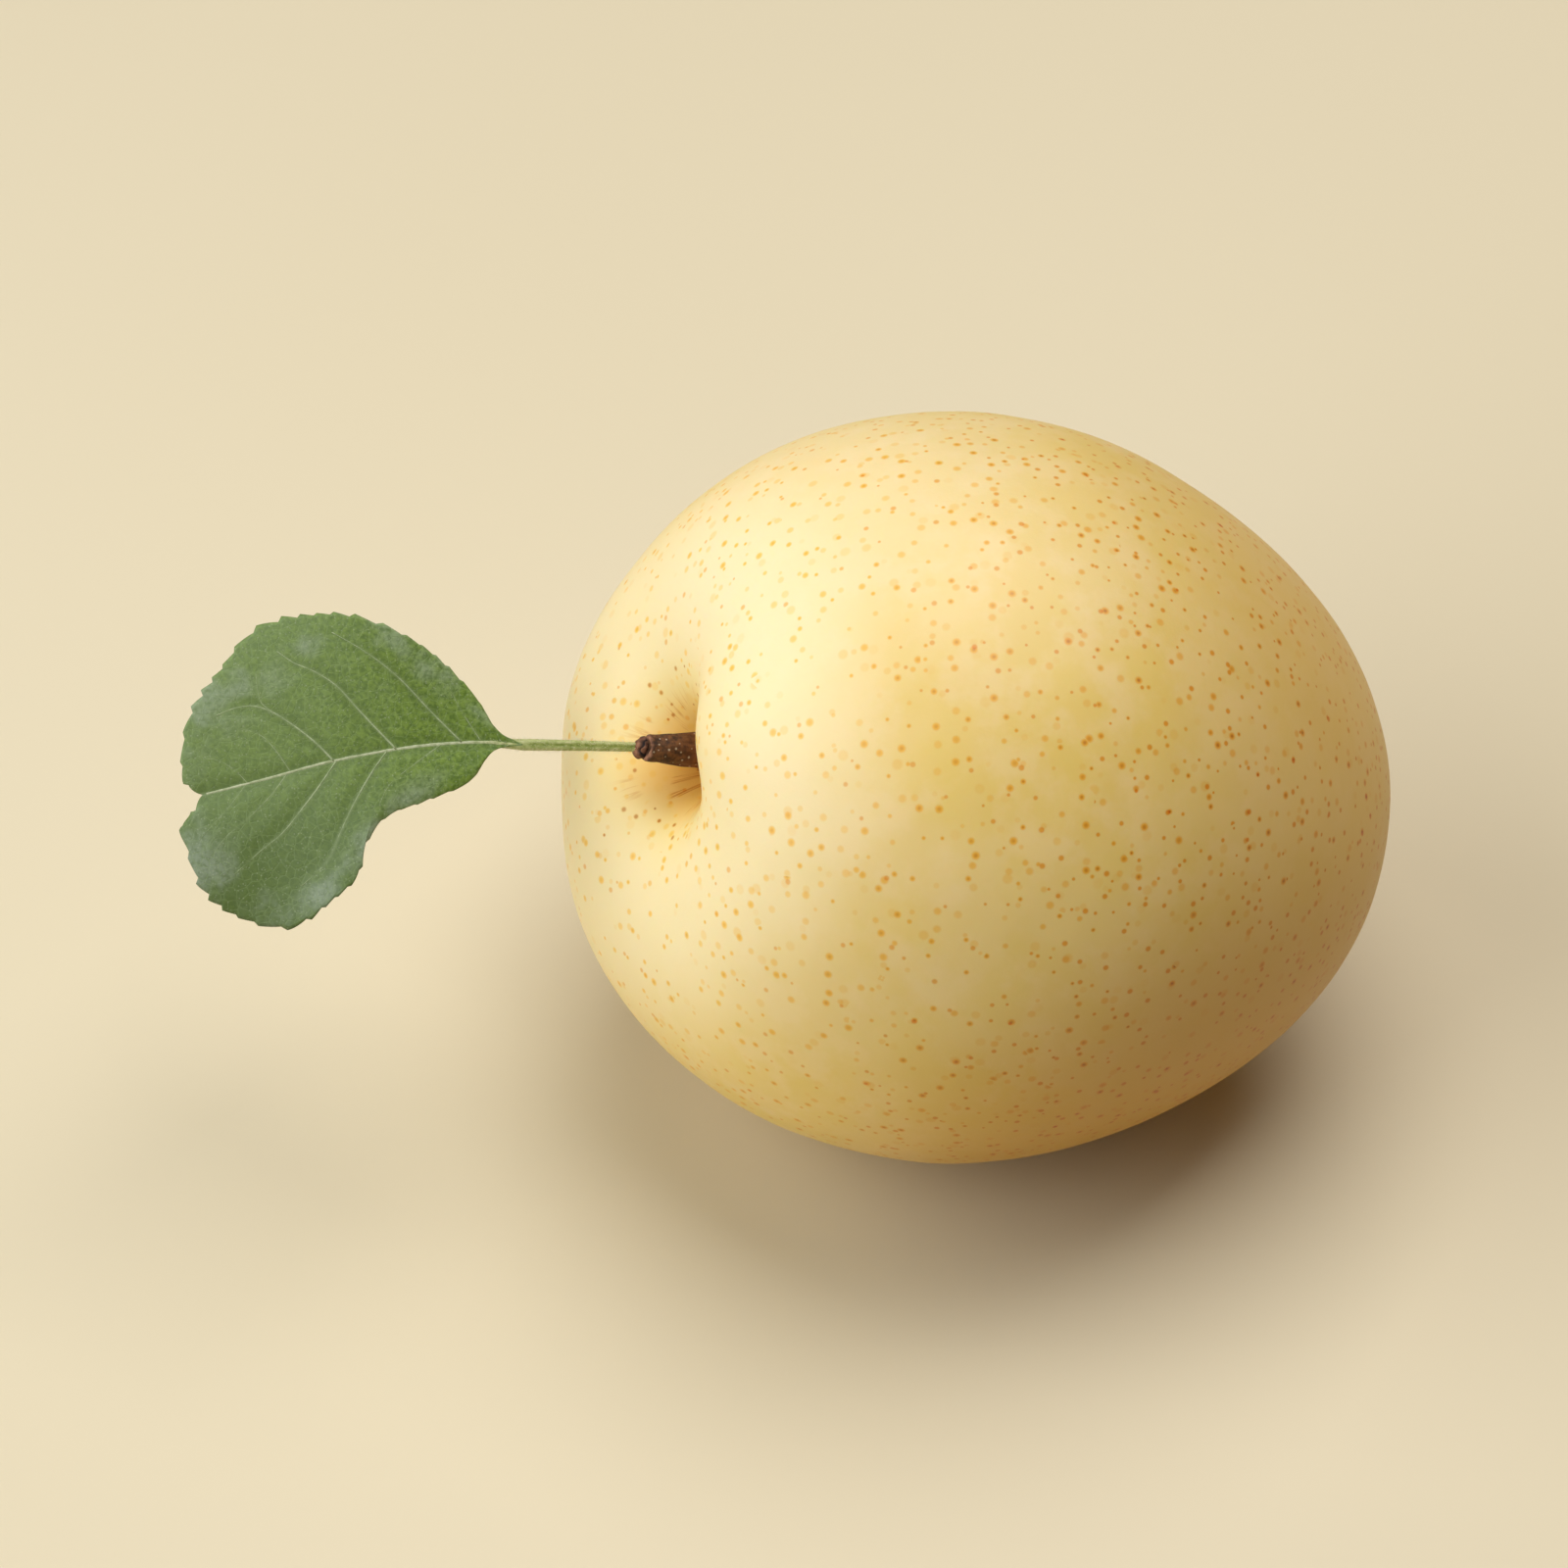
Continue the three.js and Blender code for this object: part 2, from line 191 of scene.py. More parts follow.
# Side veins from the midrib outwards, each with its width at the midrib
SIDE_VEINS = [
    (0.1, [(2.1, 0.0), (4.6, 4.0), (5.4, 5.8)]),
    (0.2, [(4.2, -0.2), (7.7, 3.3), (11.1, 6.9), (14.2, 9.4), (16.8, 11), (18.6, 12)]),
    (0.26, [(11.5, -1), (15.5, 3.2), (18.3, 6.2), (21.1, 7.9), (22.9, 8.6), (24.8, 9.9)]),
    (0.26, [
        (18.5, -2.3), (20.5, -0.3), (23.2, 1.8), (25.3, 3.1), (27.4, 3.8), (29.5, 3.6), (31.6, 2.8),
    ]),
    (0.1, [(25.3, 3.1), (26.6, 4.2), (27, 5.6), (27.2, 7.4)]),
    (0.09, [(23.3, -3.6), (25.1, -1), (26.6, 0.5), (28.6, 1.2), (30.4, 1.2)]),
    (0.07, [(28, -5), (29.8, -3.2), (31.6, -2.2), (33.2, -2)]),
    (0.08, [(6.5, -0.5), (9.2, -2.5), (12.2, -5), (13.5, -7.6)]),
    (0.2, [(12.6, -1.3), (14.2, -3.6), (16.3, -7.3), (17.6, -10.1), (19.1, -13.4), (22, -16.2)]),
    (0.22, [(18.2, -2.3), (20.1, -5.1), (22, -7.6), (24.2, -10.3), (26.4, -12.1), (29.6, -14.9)]),
    (0.09, [(23.8, -3.8), (25.6, -6.2), (28.2, -8.8), (30.6, -10.8), (32.2, -13)]),
    (0.07, [(28.6, -5.2), (30.4, -7.6), (32.4, -9.8), (33.6, -11.2)]),
]

# Leaf stalk, which runs on under the blade as its midrib
STALK_START_RADIUS = 0.52
STALK_FOOT_RADIUS = 0.66
STALK_BEND = Vector((-7, 0.2, 2.6))
RIB_END_RADIUS = 0.2
RIB_DROP = 0.43
RIB_SHOWING = (0.2, 0.13)
RIB_REACH = 0.985
RIB_STEPS = 120
STALK_STEPS = 60
STALK_SIDES = 24
GROOVE_DEPTH = 0.3
GROOVE_WIDTH = math.radians(32)
GROOVE_PAST_FOOT = 4
GROOVE_FADE = 12
RIB_BLEND = 20

# Hairs on the leaf stalk
DOWN_SEED = 11
DOWN_HAIRS = 520
DOWN_FROM = 2
DOWN_PAST_FOOT = 12
DOWN_STRAY = 0.3
DOWN_LEAN = (0.2, 0.9)
DOWN_LENGTH = (0.2, 0.5)
DOWN_ROOT = 0.97
DOWN_BEND = 0.12
DOWN_SIDES = 3
DOWN_RADII = (0.018, 0.015, 0.011, 0.004)

# Camera, floor and lights: each softbox with its direction, distance, size, watts and tint
CAMERA_PITCH = math.radians(46)
CAMERA_DISTANCE = 652
CAMERA_ASIDE = -18.94
CAMERA_UP = 0.34
CAMERA_FIELD = 180
NEAR_CLIP = 0.01
FLOOR_WIDTH = 3
SOFTBOXES = {
    "left_softbox": ((-0.85, -0.25, 0.55), 0.9, 1.0, 7.6, (0.95, 1, 1.12)),
    "top_softbox": ((0.15, 0.2, 1), 0.9, 0.7, 7.0, (1, 0.99, 1.05)),
}
STUDIO_TINT = (1, 0.8, 0.55, 1)
STUDIO_STRENGTH = 0.07


# Frames

def turned(lean, turn):
    return np.array(Matrix.Rotation(turn, 3, "Z") @ Matrix.Rotation(lean, 3, "Y"))


FRUIT_AXES = turned(AXIS_LEAN, AXIS_TURN)
BLADE_AXES = np.array(Matrix.Rotation(BLADE_PITCH, 3, "X"))


def bell(x, shape):
    """A smooth swell about 0, of a height and a width."""
    height, width = shape
    return height * np.exp(-((x / width) ** 2))


def skin_radius(polar, around):
    """Distance from the middle of the fruit to its skin; polar is 0 at the stem, pi at the calyx."""
    along, out = np.cos(polar), np.sin(polar)
    pole = (STEM_POLE + CALYX_POLE + along * (STEM_POLE - CALYX_POLE)) / 2
    power = FULLNESS + FULLNESS_GAIN * along
    round_body = ((np.abs(along) / pole) ** power + (out / GIRTH) ** power) ** (-1 / power)
    tilt = SHOULDER_TILT * out * along * np.cos(around - SHOULDER_LOW_AT)
    oval = OVAL * out**2 * np.cos(2 * (around - OVAL_AT))
    lobes = bell(polar - LOBE_POLAR, LOBE_BULGE) * np.cos(LOBES * around)
    depth, width = CAVITY_DISH
    width = width * (1 + CAVITY_OVAL * np.cos(2 * (around - CAVITY_LONG_AT)))
    cavity = bell(polar, (depth, width)) + bell(polar, CAVITY_FUNNEL)
    calyx = bell(math.pi - polar, CALYX_BASIN) + bell(math.pi - polar, CALYX_EYE)
    return round_body - tilt + oval + lobes - cavity - calyx


def skin_points(polar, around):
    radius = skin_radius(polar, around)
    out = radius * np.sin(polar)
    return np.stack([out * np.cos(around), out * np.sin(around), radius * np.cos(polar)], -1)


def fruit_middle():
    """Where the middle of the fruit is, with the lowest skin a little below the floor."""
    step = math.pi / SEARCH_STEPS
    polar, around = np.meshgrid(
        np.arange(SEARCH_STEPS) * step, np.arange(2 * SEARCH_STEPS) * step, indexing="ij"
    )
    placed = skin_points(polar, around).reshape(-1, 3) @ FRUIT_AXES.T
    return -placed[placed[:, 2].argmin()] - np.array([0, 0, REST_SINK])


FRUIT_MIDDLE = fruit_middle()
BLADE_ORIGIN = FRUIT_MIDDLE + BLADE_AXES @ np.array(BLADE_FOOT)


def from_fruit(points):
    return np.asarray(points) @ FRUIT_AXES.T + FRUIT_MIDDLE


def from_blade(points):
    return np.asarray(points) @ BLADE_AXES.T + BLADE_ORIGIN


def to_blade(points):
    return (np.asarray(points) - BLADE_ORIGIN) @ BLADE_AXES


# Meshes

def piece(name, points, faces, material, slot, node=None):
    """A smooth mesh piece on the root body, from points in millimetres in the model's frame."""
    mesh = bpy.data.meshes.new(name)
    mesh.from_pydata((np.asarray(points) * MM).tolist(), [], faces)
    mesh.polygons.foreach_set("use_smooth", [True] * len(mesh.polygons))
    mesh.materials.append(material)
    made = bpy.data.objects.new(name, mesh)
    bpy.context.scene.collection.objects.link(made)
    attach(made, "root")
    if node:
        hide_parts(node)
    return made


def paint(made, name, values):
    """Keeps a number, or a place, at each vertex for the material to read."""
    values = np.asarray(values, dtype=np.float32)
    kind, field = ("FLOAT", "value") if values.ndim == 1 else ("FLOAT_VECTOR", "vector")
    layer = made.data.attributes.new(name, kind, "POINT")
    layer.data.foreach_set(field, values.ravel())


def ring_faces(rings, sides):
    """Quads between rings of points that follow each other."""
    ring, side = np.meshgrid(np.arange(rings - 1), np.arange(sides), indexing="ij")
    low = ring * sides
    after = (side + 1) % sides
    quads = np.stack([low + side, low + after, low + sides + after, low + sides + side], -1)
    return quads.reshape(-1, 4).tolist()


def capped(rings, ends=None):
    """Points and faces of rings closed by a point at either end."""
    count, sides = rings.shape[:2]
    ends = [rings[0].mean(0), rings[-1].mean(0)] if ends is None else ends
    points = np.concatenate([rings.reshape(-1, 3), ends])
    faces = ring_faces(count, sides)
    low, high, last = count * sides, count * sides + 1, (count - 1) * sides
    for side in range(sides):
        after = (side + 1) % sides
        faces.append([low, after, side])
        faces.append([high, last + side, last + after])
    return points, faces


def joined(parts):
    """Several lots of points and faces as one."""
    points, faces, first = [], [], 0
    for some_points, some_faces in parts:
        points.append(some_points)
        faces += [[first + corner for corner in face] for face in some_faces]
        first += len(some_points)
    return np.concatenate(points), faces


def melted(points, faces, size):
    """The skin about several closed bodies, as a mesh of even steps of the size given."""
    mesh = bpy.data.meshes.new("melting")
    mesh.from_pydata(np.asarray(points).tolist(), [], faces)
    lump = bpy.data.objects.new("melting", mesh)
    bpy.context.scene.collection.objects.link(lump)
    melt = lump.modifiers.new("melt", "REMESH")
    melt.mode = "VOXEL"
    melt.voxel_size = size
    skin = lump.evaluated_get(bpy.context.evaluated_depsgraph_get()).to_mesh()
    found = np.array([vertex.co[:] for vertex in skin.vertices])
    quads = [list(face.vertices) for face in skin.polygons]
    bpy.data.objects.remove(lump)
    bpy.data.meshes.remove(mesh)
    return found, quads


def rough(points, size, seed=0.0):
    """Soft noise between -1 and 1 at points in millimetres, with lumps of about the size given."""
    places = np.asarray(points) / size + seed
    return np.array([noise.noise(place) for place in places])


def bar(points, radii, sides, hollow=0.0):
    """Rings of a bar along points in the blade's frame; hollow shares of its radius are taken off."""
    points = np.asarray(points, dtype=float)
    run = np.gradient(points, axis=0)
    run /= np.linalg.norm(run, axis=1, keepdims=True)
    side = np.cross([0, 0, 1], run)
    side /= np.linalg.norm(side, axis=1, keepdims=True)
    top = np.cross(run, side)
    angle = np.arange(sides) * TURN / sides
    spokes = side[:, None] * np.cos(angle)[:, None] + top[:, None] * np.sin(angle)[:, None]
    reach = np.outer(radii, np.ones(sides)) * (1 - hollow)
    return points[:, None] + spokes * reach[..., None]


class SmoothLine:
    """A smooth line through points, read at shares of its length."""

    def __init__(self, points, samples=60):
        given = np.array(points, dtype=float)
        ends = np.concatenate([[2 * given[0] - given[1]], given, [2 * given[-1] - given[-2]]])
        weight = np.linspace(0, 1, samples, endpoint=False)[:, None]
        stretches = []
        for before, start, end, beyond in zip(ends, ends[1:], ends[2:], ends[3:]):
            first, middle, last = (
                math.sqrt(np.linalg.norm(step)) for step in (start - before, end - start, beyond - end)
            )
            leave = (start - before) / first - (end - before) / (first + middle)
            leave = (leave + (end - start) / middle) * middle
            reach = (end - start) / middle - (beyond - start) / (middle + last)
            reach = (reach + (beyond - end) / last) * middle
            square = 3 * (end - start) - 2 * leave - reach
            cube = 2 * (start - end) + leave + reach
            stretches.append(start + weight * (leave + weight * (square + weight * cube)))
        self.points = np.concatenate(stretches + [given[-1:]])
        steps = np.linalg.norm(np.diff(self.points, axis=0), axis=1)
        self.lengths = np.concatenate([[0], np.cumsum(steps)])

    def at(self, share):
        length = np.asarray(share) * self.lengths[-1]
        return np.stack([np.interp(length, self.lengths, axis) for axis in self.points.T], -1)

    def run_at(self, share, step=0.002):
        share = np.asarray(share)
        run = self.at(np.minimum(share + step, 1)) - self.at(np.maximum(share - step, 0))
        return run / np.linalg.norm(run, axis=-1, keepdims=True)


# Shader nodes

def feed(tree, socket, value):
    if isinstance(value, bpy.types.NodeSocket):
        tree.links.new(value, socket)
    else:
        socket.default_value = value


def add(tree, kind, inputs=None, **settings):
    node = tree.nodes.new(kind)
    for name, value in settings.items():
        setattr(node, name, value)
    for socket, value in (inputs or {}).items():
        feed(tree, node.inputs[socket], value)
    return node


def worked(tree, operation, first, second=0.0, clamp=False):
    node = add(tree, "ShaderNodeMath", {0: first, 1: second}, operation=operation, use_clamp=clamp)
    return node.outputs[0]


def times(tree, first, second):
    return worked(tree, "MULTIPLY", first, second)


def eased(tree, value, low, high, to_low=0.0, to_high=1.0):
    """The value, eased from one range to another."""
    inputs = {"Value": value, "From Min": low, "From Max": high, "To Min": to_low, "To Max": to_high}
    return add(tree, "ShaderNodeMapRange", inputs, interpolation_type="SMOOTHSTEP").outputs["Result"]


MIX_INPUTS = (0, 6, 7)
MIX_RESULT = 2


def mixed(tree, share, first, second, blend="MIX"):
    """The first colour, turned into the second one or multiplied by it as the share goes to 1."""
    node = add(tree, "ShaderNodeMix", data_type="RGBA", blend_type=blend)
    for place, value in zip(MIX_INPUTS, (share, first, second)):
        feed(tree, node.inputs[place], value)
    return node.outputs[MIX_RESULT]


def painted(tree, name, output="Fac"):
    return add(tree, "ShaderNodeAttribute", attribute_name=name).outputs[output]


def noise_value(tree, place, lumps, unit=MM):
    """Noise with lumps of a size, by default in millimetres, and their detail and roughness."""
    size, detail, roughness = lumps
    inputs = {"Vector": place, "Scale": 1 / (size * unit), "Detail": detail, "Roughness": roughness}
    return add(tree, "ShaderNodeTexNoise", inputs).outputs["Fac"]


def colour(red, green, blue):
    """A shader colour from the 0 to 255 values of a screen colour."""
    def linear(value):
        share = value / 255
        return share / 12.92 if share <= 0.04045 else ((share + 0.055) / 1.055) ** 2.4
    return (linear(red), linear(green), linear(blue), 1)


def two_tone(tree, value, tones):
    """One colour that turns into another over a range of the value."""
    first, second, low, high = tones
    return mixed(tree, eased(tree, value, low, high), first, second)


def wash(tree, base, value, layer):
    """The base under a colour that comes in over a range of the value, up to a share."""
    tone, low, high, share = layer
    return mixed(tree, eased(tree, value, low, high, 0, share), base, tone)


def laid(tree, base, tone, mask, share):
    """The base under a share of a colour, where the mask is 1."""
    return mixed(tree, times(tree, mask, share), base, tone)


def stained(tree, base, tint, mask, strength):
    """The base multiplied by a tint as strongly as given, where the mask is 1."""
    return mixed(tree, times(tree, mask, strength), base, tint, "MULTIPLY")


SPECK_SCATTER = 0.92
SPECK_DEPTH = 0.3
SPECK_SIZES = (0.0, 1.0, 0.65, 1.3)
CORE_RIM = 0.75
CORE_MIDDLE = 0.15


def vector_work(tree, operation, first, second=(0, 0, 0)):
    return add(tree, "ShaderNodeVectorMath", {0: first, 1: second}, operation=operation).outputs


def speck_group():
    """Round specks over a surface, one for each point of a scattered cloud that comes near it."""
    tree = bpy.data.node_groups.new("Specks", "ShaderNodeTree")
    tree.interface.new_socket("Place", in_out="INPUT", socket_type="NodeSocketVector")
    for name in ("Cell", "Radius", "Edge", "Kept"):
        tree.interface.new_socket(name, in_out="INPUT", socket_type="NodeSocketFloat")
    for name in ("Mask", "Core", "Chance"):
        tree.interface.new_socket(name, in_out="OUTPUT", socket_type="NodeSocketFloat")
    given = tree.nodes.new("NodeGroupInput").outputs
    result = tree.nodes.new("NodeGroupOutput").inputs
    scale = worked(tree, "DIVIDE", 1.0, given["Cell"])
    inputs = {"Vector": given["Place"], "Scale": scale, "Randomness": SPECK_SCATTER}
    cloud = add(tree, "ShaderNodeTexVoronoi", inputs).outputs
    chances = add(tree, "ShaderNodeSeparateColor", {"Color": cloud["Color"]}).outputs
    aside = vector_work(tree, "SUBTRACT", given["Place"], cloud["Position"])["Vector"]
    normal = add(tree, "ShaderNodeNewGeometry").outputs["Normal"]
    depth = vector_work(tree, "DOT_PRODUCT", aside, normal)["Value"]
    length = vector_work(tree, "LENGTH", aside)["Value"]
    across = worked(tree, "SUBTRACT", times(tree, length, length), times(tree, depth, depth), clamp=True)
    distance = worked(tree, "SQRT", across)
    least = times(tree, given["Cell"], SPECK_DEPTH)
    near = worked(tree, "LESS_THAN", worked(tree, "ABSOLUTE", depth), least)
    kept = times(tree, worked(tree, "LESS_THAN", chances["Green"], given["Kept"]), near)
    radius = times(tree, given["Radius"], eased(tree, chances["Red"], *SPECK_SIZES))
    soft = times(tree, radius, given["Edge"])
    rim = worked(tree, "ADD", radius, soft)
    inner = worked(tree, "SUBTRACT", radius, soft)
    core = eased(tree, distance, times(tree, radius, CORE_RIM), times(tree, radius, CORE_MIDDLE))
    feed(tree, result["Mask"], times(tree, eased(tree, distance, rim, inner), kept))
    feed(tree, result["Core"], times(tree, core, kept))
    feed(tree, result["Chance"], chances["Blue"])
    return tree


def specks(tree, group, place, kind, kept):
    """Specks with cells and a radius in millimetres and a soft edge; a share of them is kept."""
    cell, radius, edge = kind
    inputs = {"Place": place, "Cell": cell * MM, "Radius": radius * MM, "Edge": edge, "Kept": kept}
    node = add(tree, "ShaderNodeGroup", node_tree=group)
    for socket, value in inputs.items():
        feed(tree, node.inputs[socket], value)
    return node.outputs


def material(name, settings):
    """A material with its shader's plain values set, its tree and its place in space."""
    made = bpy.data.materials.new(name)
    made.use_nodes = True
    tree = made.node_tree
    for socket, value in settings.items():
        tree.nodes["Principled BSDF"].inputs[socket].default_value = value
    place = add(tree, "ShaderNodeTexCoord").outputs["Object"]
    return made, tree, place


def dressed(made, base, height=None, depth=0.0):
    """The material with its colour, and with relief of a height from 0 to 1 and a depth in millimetres."""
    tree = made.node_tree
    shader = tree.nodes["Principled BSDF"]
    feed(tree, shader.inputs["Base Color"], base)
    if height is not None:
        relief = add(tree, "ShaderNodeBump", {"Height": height, "Distance": depth * MM, "Strength": 1.0})
        feed(tree, shader.inputs["Normal"], relief.outputs["Normal"])
    return made


# Skin. Noise has its size, detail and roughness; tones are two colours and the range between them; a
# wash is a colour, the range over which it comes in, and its greatest share; specks have their cell,
# radius and edge. Other ranges are eased to shares from 0 to 1, or to the two shares that follow.

BROAD_PATCHES = (24, 2.0, 0.55)
DRIFT_PATCHES = (9, 3.0, 0.55)
CLOSE_PATCHES = (6, 4.0, 0.55)
SKIN_TONES = (colour(236, 207, 130), colour(231, 199, 106), 0.36, 0.66)
DRIFT_WASH = (colour(230, 199, 98), 0.44, 0.66, 0.36)
CLOSE_WASH = (colour(241, 213, 152), 0.42, 0.68, 0.45)
# Browner towards the calyx, partly as painted shade
CALYX_HALF_WASH = (colour(216, 172, 84), 0.62, 0.05, 0.8)
# Paler towards the stem, partly as painted light
STEM_HALF_WASH = (colour(251, 232, 178), 0.78, 0.95, 0.8)
# Painted light: pale cream on the upper side
PAINTED_LIGHT_WASH = (colour(250, 231, 186), 0.75, 1.0, 0.45)
# Painted shade: deep golden brown on the lower front side
PAINTED_SHADE_WASH = (colour(192, 140, 28), 0.55, 1.0, 0.8)
SKIN_GRAIN = (0.6, 2.0, 0.55)
SKIN_RELIEF = 0.02

CALYXWARD = (0.97, 0.4)
BLOTCH = (3.0, 0.44, 0.35)
BLOTCHES_KEPT = 0.75
BLOTCH_STRENGTH = (0.0, 1.0, 0.15, 0.5)
BLOTCH_TINT = (0.97, 0.74, 0.28, 1)
PINPOINT = (2.3, 0.24, 0.4)
PINPOINTS_KEPT = (0.9, 0.4, 0.2, 0.85)
PINPOINT_STRENGTH = (0.0, 1.0, 0.7, 1.0)
PINPOINT_TINT = (0.9, 0.52, 0.12, 1)
DOT = (2.0, 0.33, 0.42)
DOTS_KEPT = 0.88
DOT_STRENGTH = (0.0, 0.7, 0.45, 1.0)
DOT_CALYXWARD = (0.0, 1.0, 0.85, 1.0)
DOT_TINT = (1.0, 0.7, 0.1, 1)
CALYX_DOT_TINT = (0.96, 0.62, 0.15, 1)
CORE_STRENGTH = (0.25, 1.0)
CORE_CALYXWARD = (0.0, 1.0, 0.35, 0.9)
CORE_TINT = (0.64, 0.44, 0.4, 1)

CAVITY_WASH = (colour(250, 218, 116), 0.15, 0.9, 0.75)
# Orange deepest in the funnel by the stem, partly painted shade
CAVITY_FLOOR_WASH = (colour(238, 172, 50), 0.5, 0.95, 0.85)
RUSSET_SPECK = (1.5, 0.26, 0.4)
RUSSET_KEPT = (0.1, 0.6, 0.0, 0.75)
RUSSET_STRENGTH = (0.0, 1.0, 0.35, 0.95)
RUSSET_TINT = (0.95, 0.66, 0.18, 1)
FLECK = (1.5, 0.19, 0.5)
FLECKS_KEPT = (0.25, 0.7, 0.0, 0.45)
FLECK_STRENGTH = 0.8
FLECK_TINT = (0.58, 0.34, 0.06, 1)
STREAK_NOISE = (1.0, 4.0, 0.6)
STREAK_MIDDLE = 0.5
CRACK_LINE = (0.035, 0.0)
CRACK_PATCHES = (5, 1.0, 0.55)
CRACK_PATCH_RANGE = (0.44, 0.56)
CRACK_REACH = (0.5, 0.8)
CRACK_TINT = (0.72, 0.44, 0.12, 1)

SCAR_EDGE_NOISE = (1.2, 4.0, 0.55)
SCAR_EDGE_SHIFT = (0.25, 0.75, -0.09, 0.09)
FLUSH_REACH = (0.12, 0.7)
FLUSH_STRENGTH = 0.6
FLUSH_TINT = (0.86, 0.68, 0.45, 1)
CORK_GRAIN = (0.5, 4.0, 0.55)
CORK_TONES = (colour(116, 74, 32), colour(172, 120, 58), 0.32, 0.68)
CORK_REACH = (0.5, 0.68)
SCAR_MIDDLE_WASH = (colour(62, 40, 24), 0.86, 0.97, 1.0)


def skin_ground(tree, place, along):
    """Golden skin in patches, paler by the stem partly as painted light, browner by the calyx partly as
    painted shade, with painted light on its upper side and painted shade on its lower front side.
    """
    base = two_tone(tree, noise_value(tree, place, BROAD_PATCHES), SKIN_TONES)
    layers = (
        (noise_value(tree, place, DRIFT_PATCHES), DRIFT_WASH),
        (noise_value(tree, place, CLOSE_PATCHES), CLOSE_WASH),
        (along, CALYX_HALF_WASH),
        (along, STEM_HALF_WASH),
        (painted(tree, "painted_light_side"), PAINTED_LIGHT_WASH),
        (painted(tree, "painted_shade_side"), PAINTED_SHADE_WASH),
    )
    for value, layer in layers:
        base = wash(tree, base, value, layer)
    return base


def skin_dots(tree, group, place, along, base):
    """Faint blotches, then pinpoints, then orange dots with deeper cores, stronger towards the calyx."""
    calyxward = eased(tree, along, *CALYXWARD)
    blotch = specks(tree, group, place, BLOTCH, BLOTCHES_KEPT)
    strength = eased(tree, blotch["Chance"], *BLOTCH_STRENGTH)
    base = stained(tree, base, BLOTCH_TINT, blotch["Mask"], strength)
    pinpoint = specks(tree, group, place, PINPOINT, eased(tree, along, *PINPOINTS_KEPT))
    strength = eased(tree, calyxward, *PINPOINT_STRENGTH)
    base = stained(tree, base, PINPOINT_TINT, pinpoint["Mask"], strength)
    dot = specks(tree, group, place, DOT, DOTS_KEPT)
    tint = mixed(tree, calyxward, DOT_TINT, CALYX_DOT_TINT)
    by_chance = eased(tree, dot["Chance"], *DOT_STRENGTH)
    by_place = eased(tree, calyxward, *DOT_CALYXWARD)
    base = stained(tree, base, tint, dot["Mask"], times(tree, by_chance, by_place))
    by_chance = eased(tree, dot["Chance"], *CORE_STRENGTH)
    by_place = eased(tree, calyxward, *CORE_CALYXWARD)
    return stained(tree, base, CORE_TINT, dot["Core"], times(tree, by_chance, by_place))


def cavity_cracks(tree, place, stem_end, base):
    """Thin cracks that run down the sides of the stem cavity, in patches."""
    streak = noise_value(tree, painted(tree, "streak_place", "Vector"), STREAK_NOISE, 1)
    aside = worked(tree, "ABSOLUTE", worked(tree, "SUBTRACT", streak, STREAK_MIDDLE))
    patch = eased(tree, noise_value(tree, place, CRACK_PATCHES), *CRACK_PATCH_RANGE)
    crack = times(tree, eased(tree, aside, *CRACK_LINE), patch)
    return stained(tree, base, CRACK_TINT, crack, eased(tree, stem_end, *CRACK_REACH))


def stem_cavity(tree, group, place, base):
    """Golden stem cavity, orange by the stem partly as painted shade in the funnel, with russet specks, a
    few dark flecks and cracks.
    """
    stem_end = painted(tree, "stem_end")
    base = wash(tree, base, stem_end, CAVITY_WASH)
    # deep orange by the stem, partly painted shade in the funnel
    base = wash(tree, base, stem_end, CAVITY_FLOOR_WASH)
    russet = specks(tree, group, place, RUSSET_SPECK, eased(tree, stem_end, *RUSSET_KEPT))
    strength = eased(tree, russet["Chance"], *RUSSET_STRENGTH)
    base = stained(tree, base, RUSSET_TINT, russet["Mask"], strength)
    fleck = specks(tree, group, place, FLECK, eased(tree, stem_end, *FLECKS_KEPT))
    base = stained(tree, base, FLECK_TINT, fleck["Mask"], FLECK_STRENGTH)
    return cavity_cracks(tree, place, stem_end, base)


def calyx_scar(tree, place, base):
    """Soft russet about a corky ring with a ragged rim and a dark hollow, where the flower was."""
    shift = eased(tree, noise_value(tree, place, SCAR_EDGE_NOISE), *SCAR_EDGE_SHIFT)
    edge = worked(tree, "ADD", painted(tree, "calyx_end"), shift)
    base = stained(tree, base, FLUSH_TINT, eased(tree, edge, *FLUSH_REACH), FLUSH_STRENGTH)
    cork = two_tone(tree, noise_value(tree, place, CORK_GRAIN), CORK_TONES)
    base = mixed(tree, eased(tree, edge, *CORK_REACH), base, cork)
    return wash(tree, base, edge, SCAR_MIDDLE_WASH)


def skin_material(group):
    made, tree, place = material("pear_skin", {
        "Roughness": 0.47, "Specular IOR Level": 0.46, "Subsurface Weight": 0.2,
        "Subsurface Radius": (1.0, 0.5, 0.16), "Subsurface Scale": 0.004,
        "Coat Weight": 0.1, "Coat Roughness": 0.35,
    })
    along = painted(tree, "along")
    base = skin_ground(tree, place, along)
    base = skin_dots(tree, group, place, along, base)
    base = stem_cavity(tree, group, place, base)
    base = calyx_scar(tree, place, base)
    return dressed(made, base, noise_value(tree, place, SKIN_GRAIN), SKIN_RELIEF)


# Bark and leaf finishes, with values in the same order as the skin's

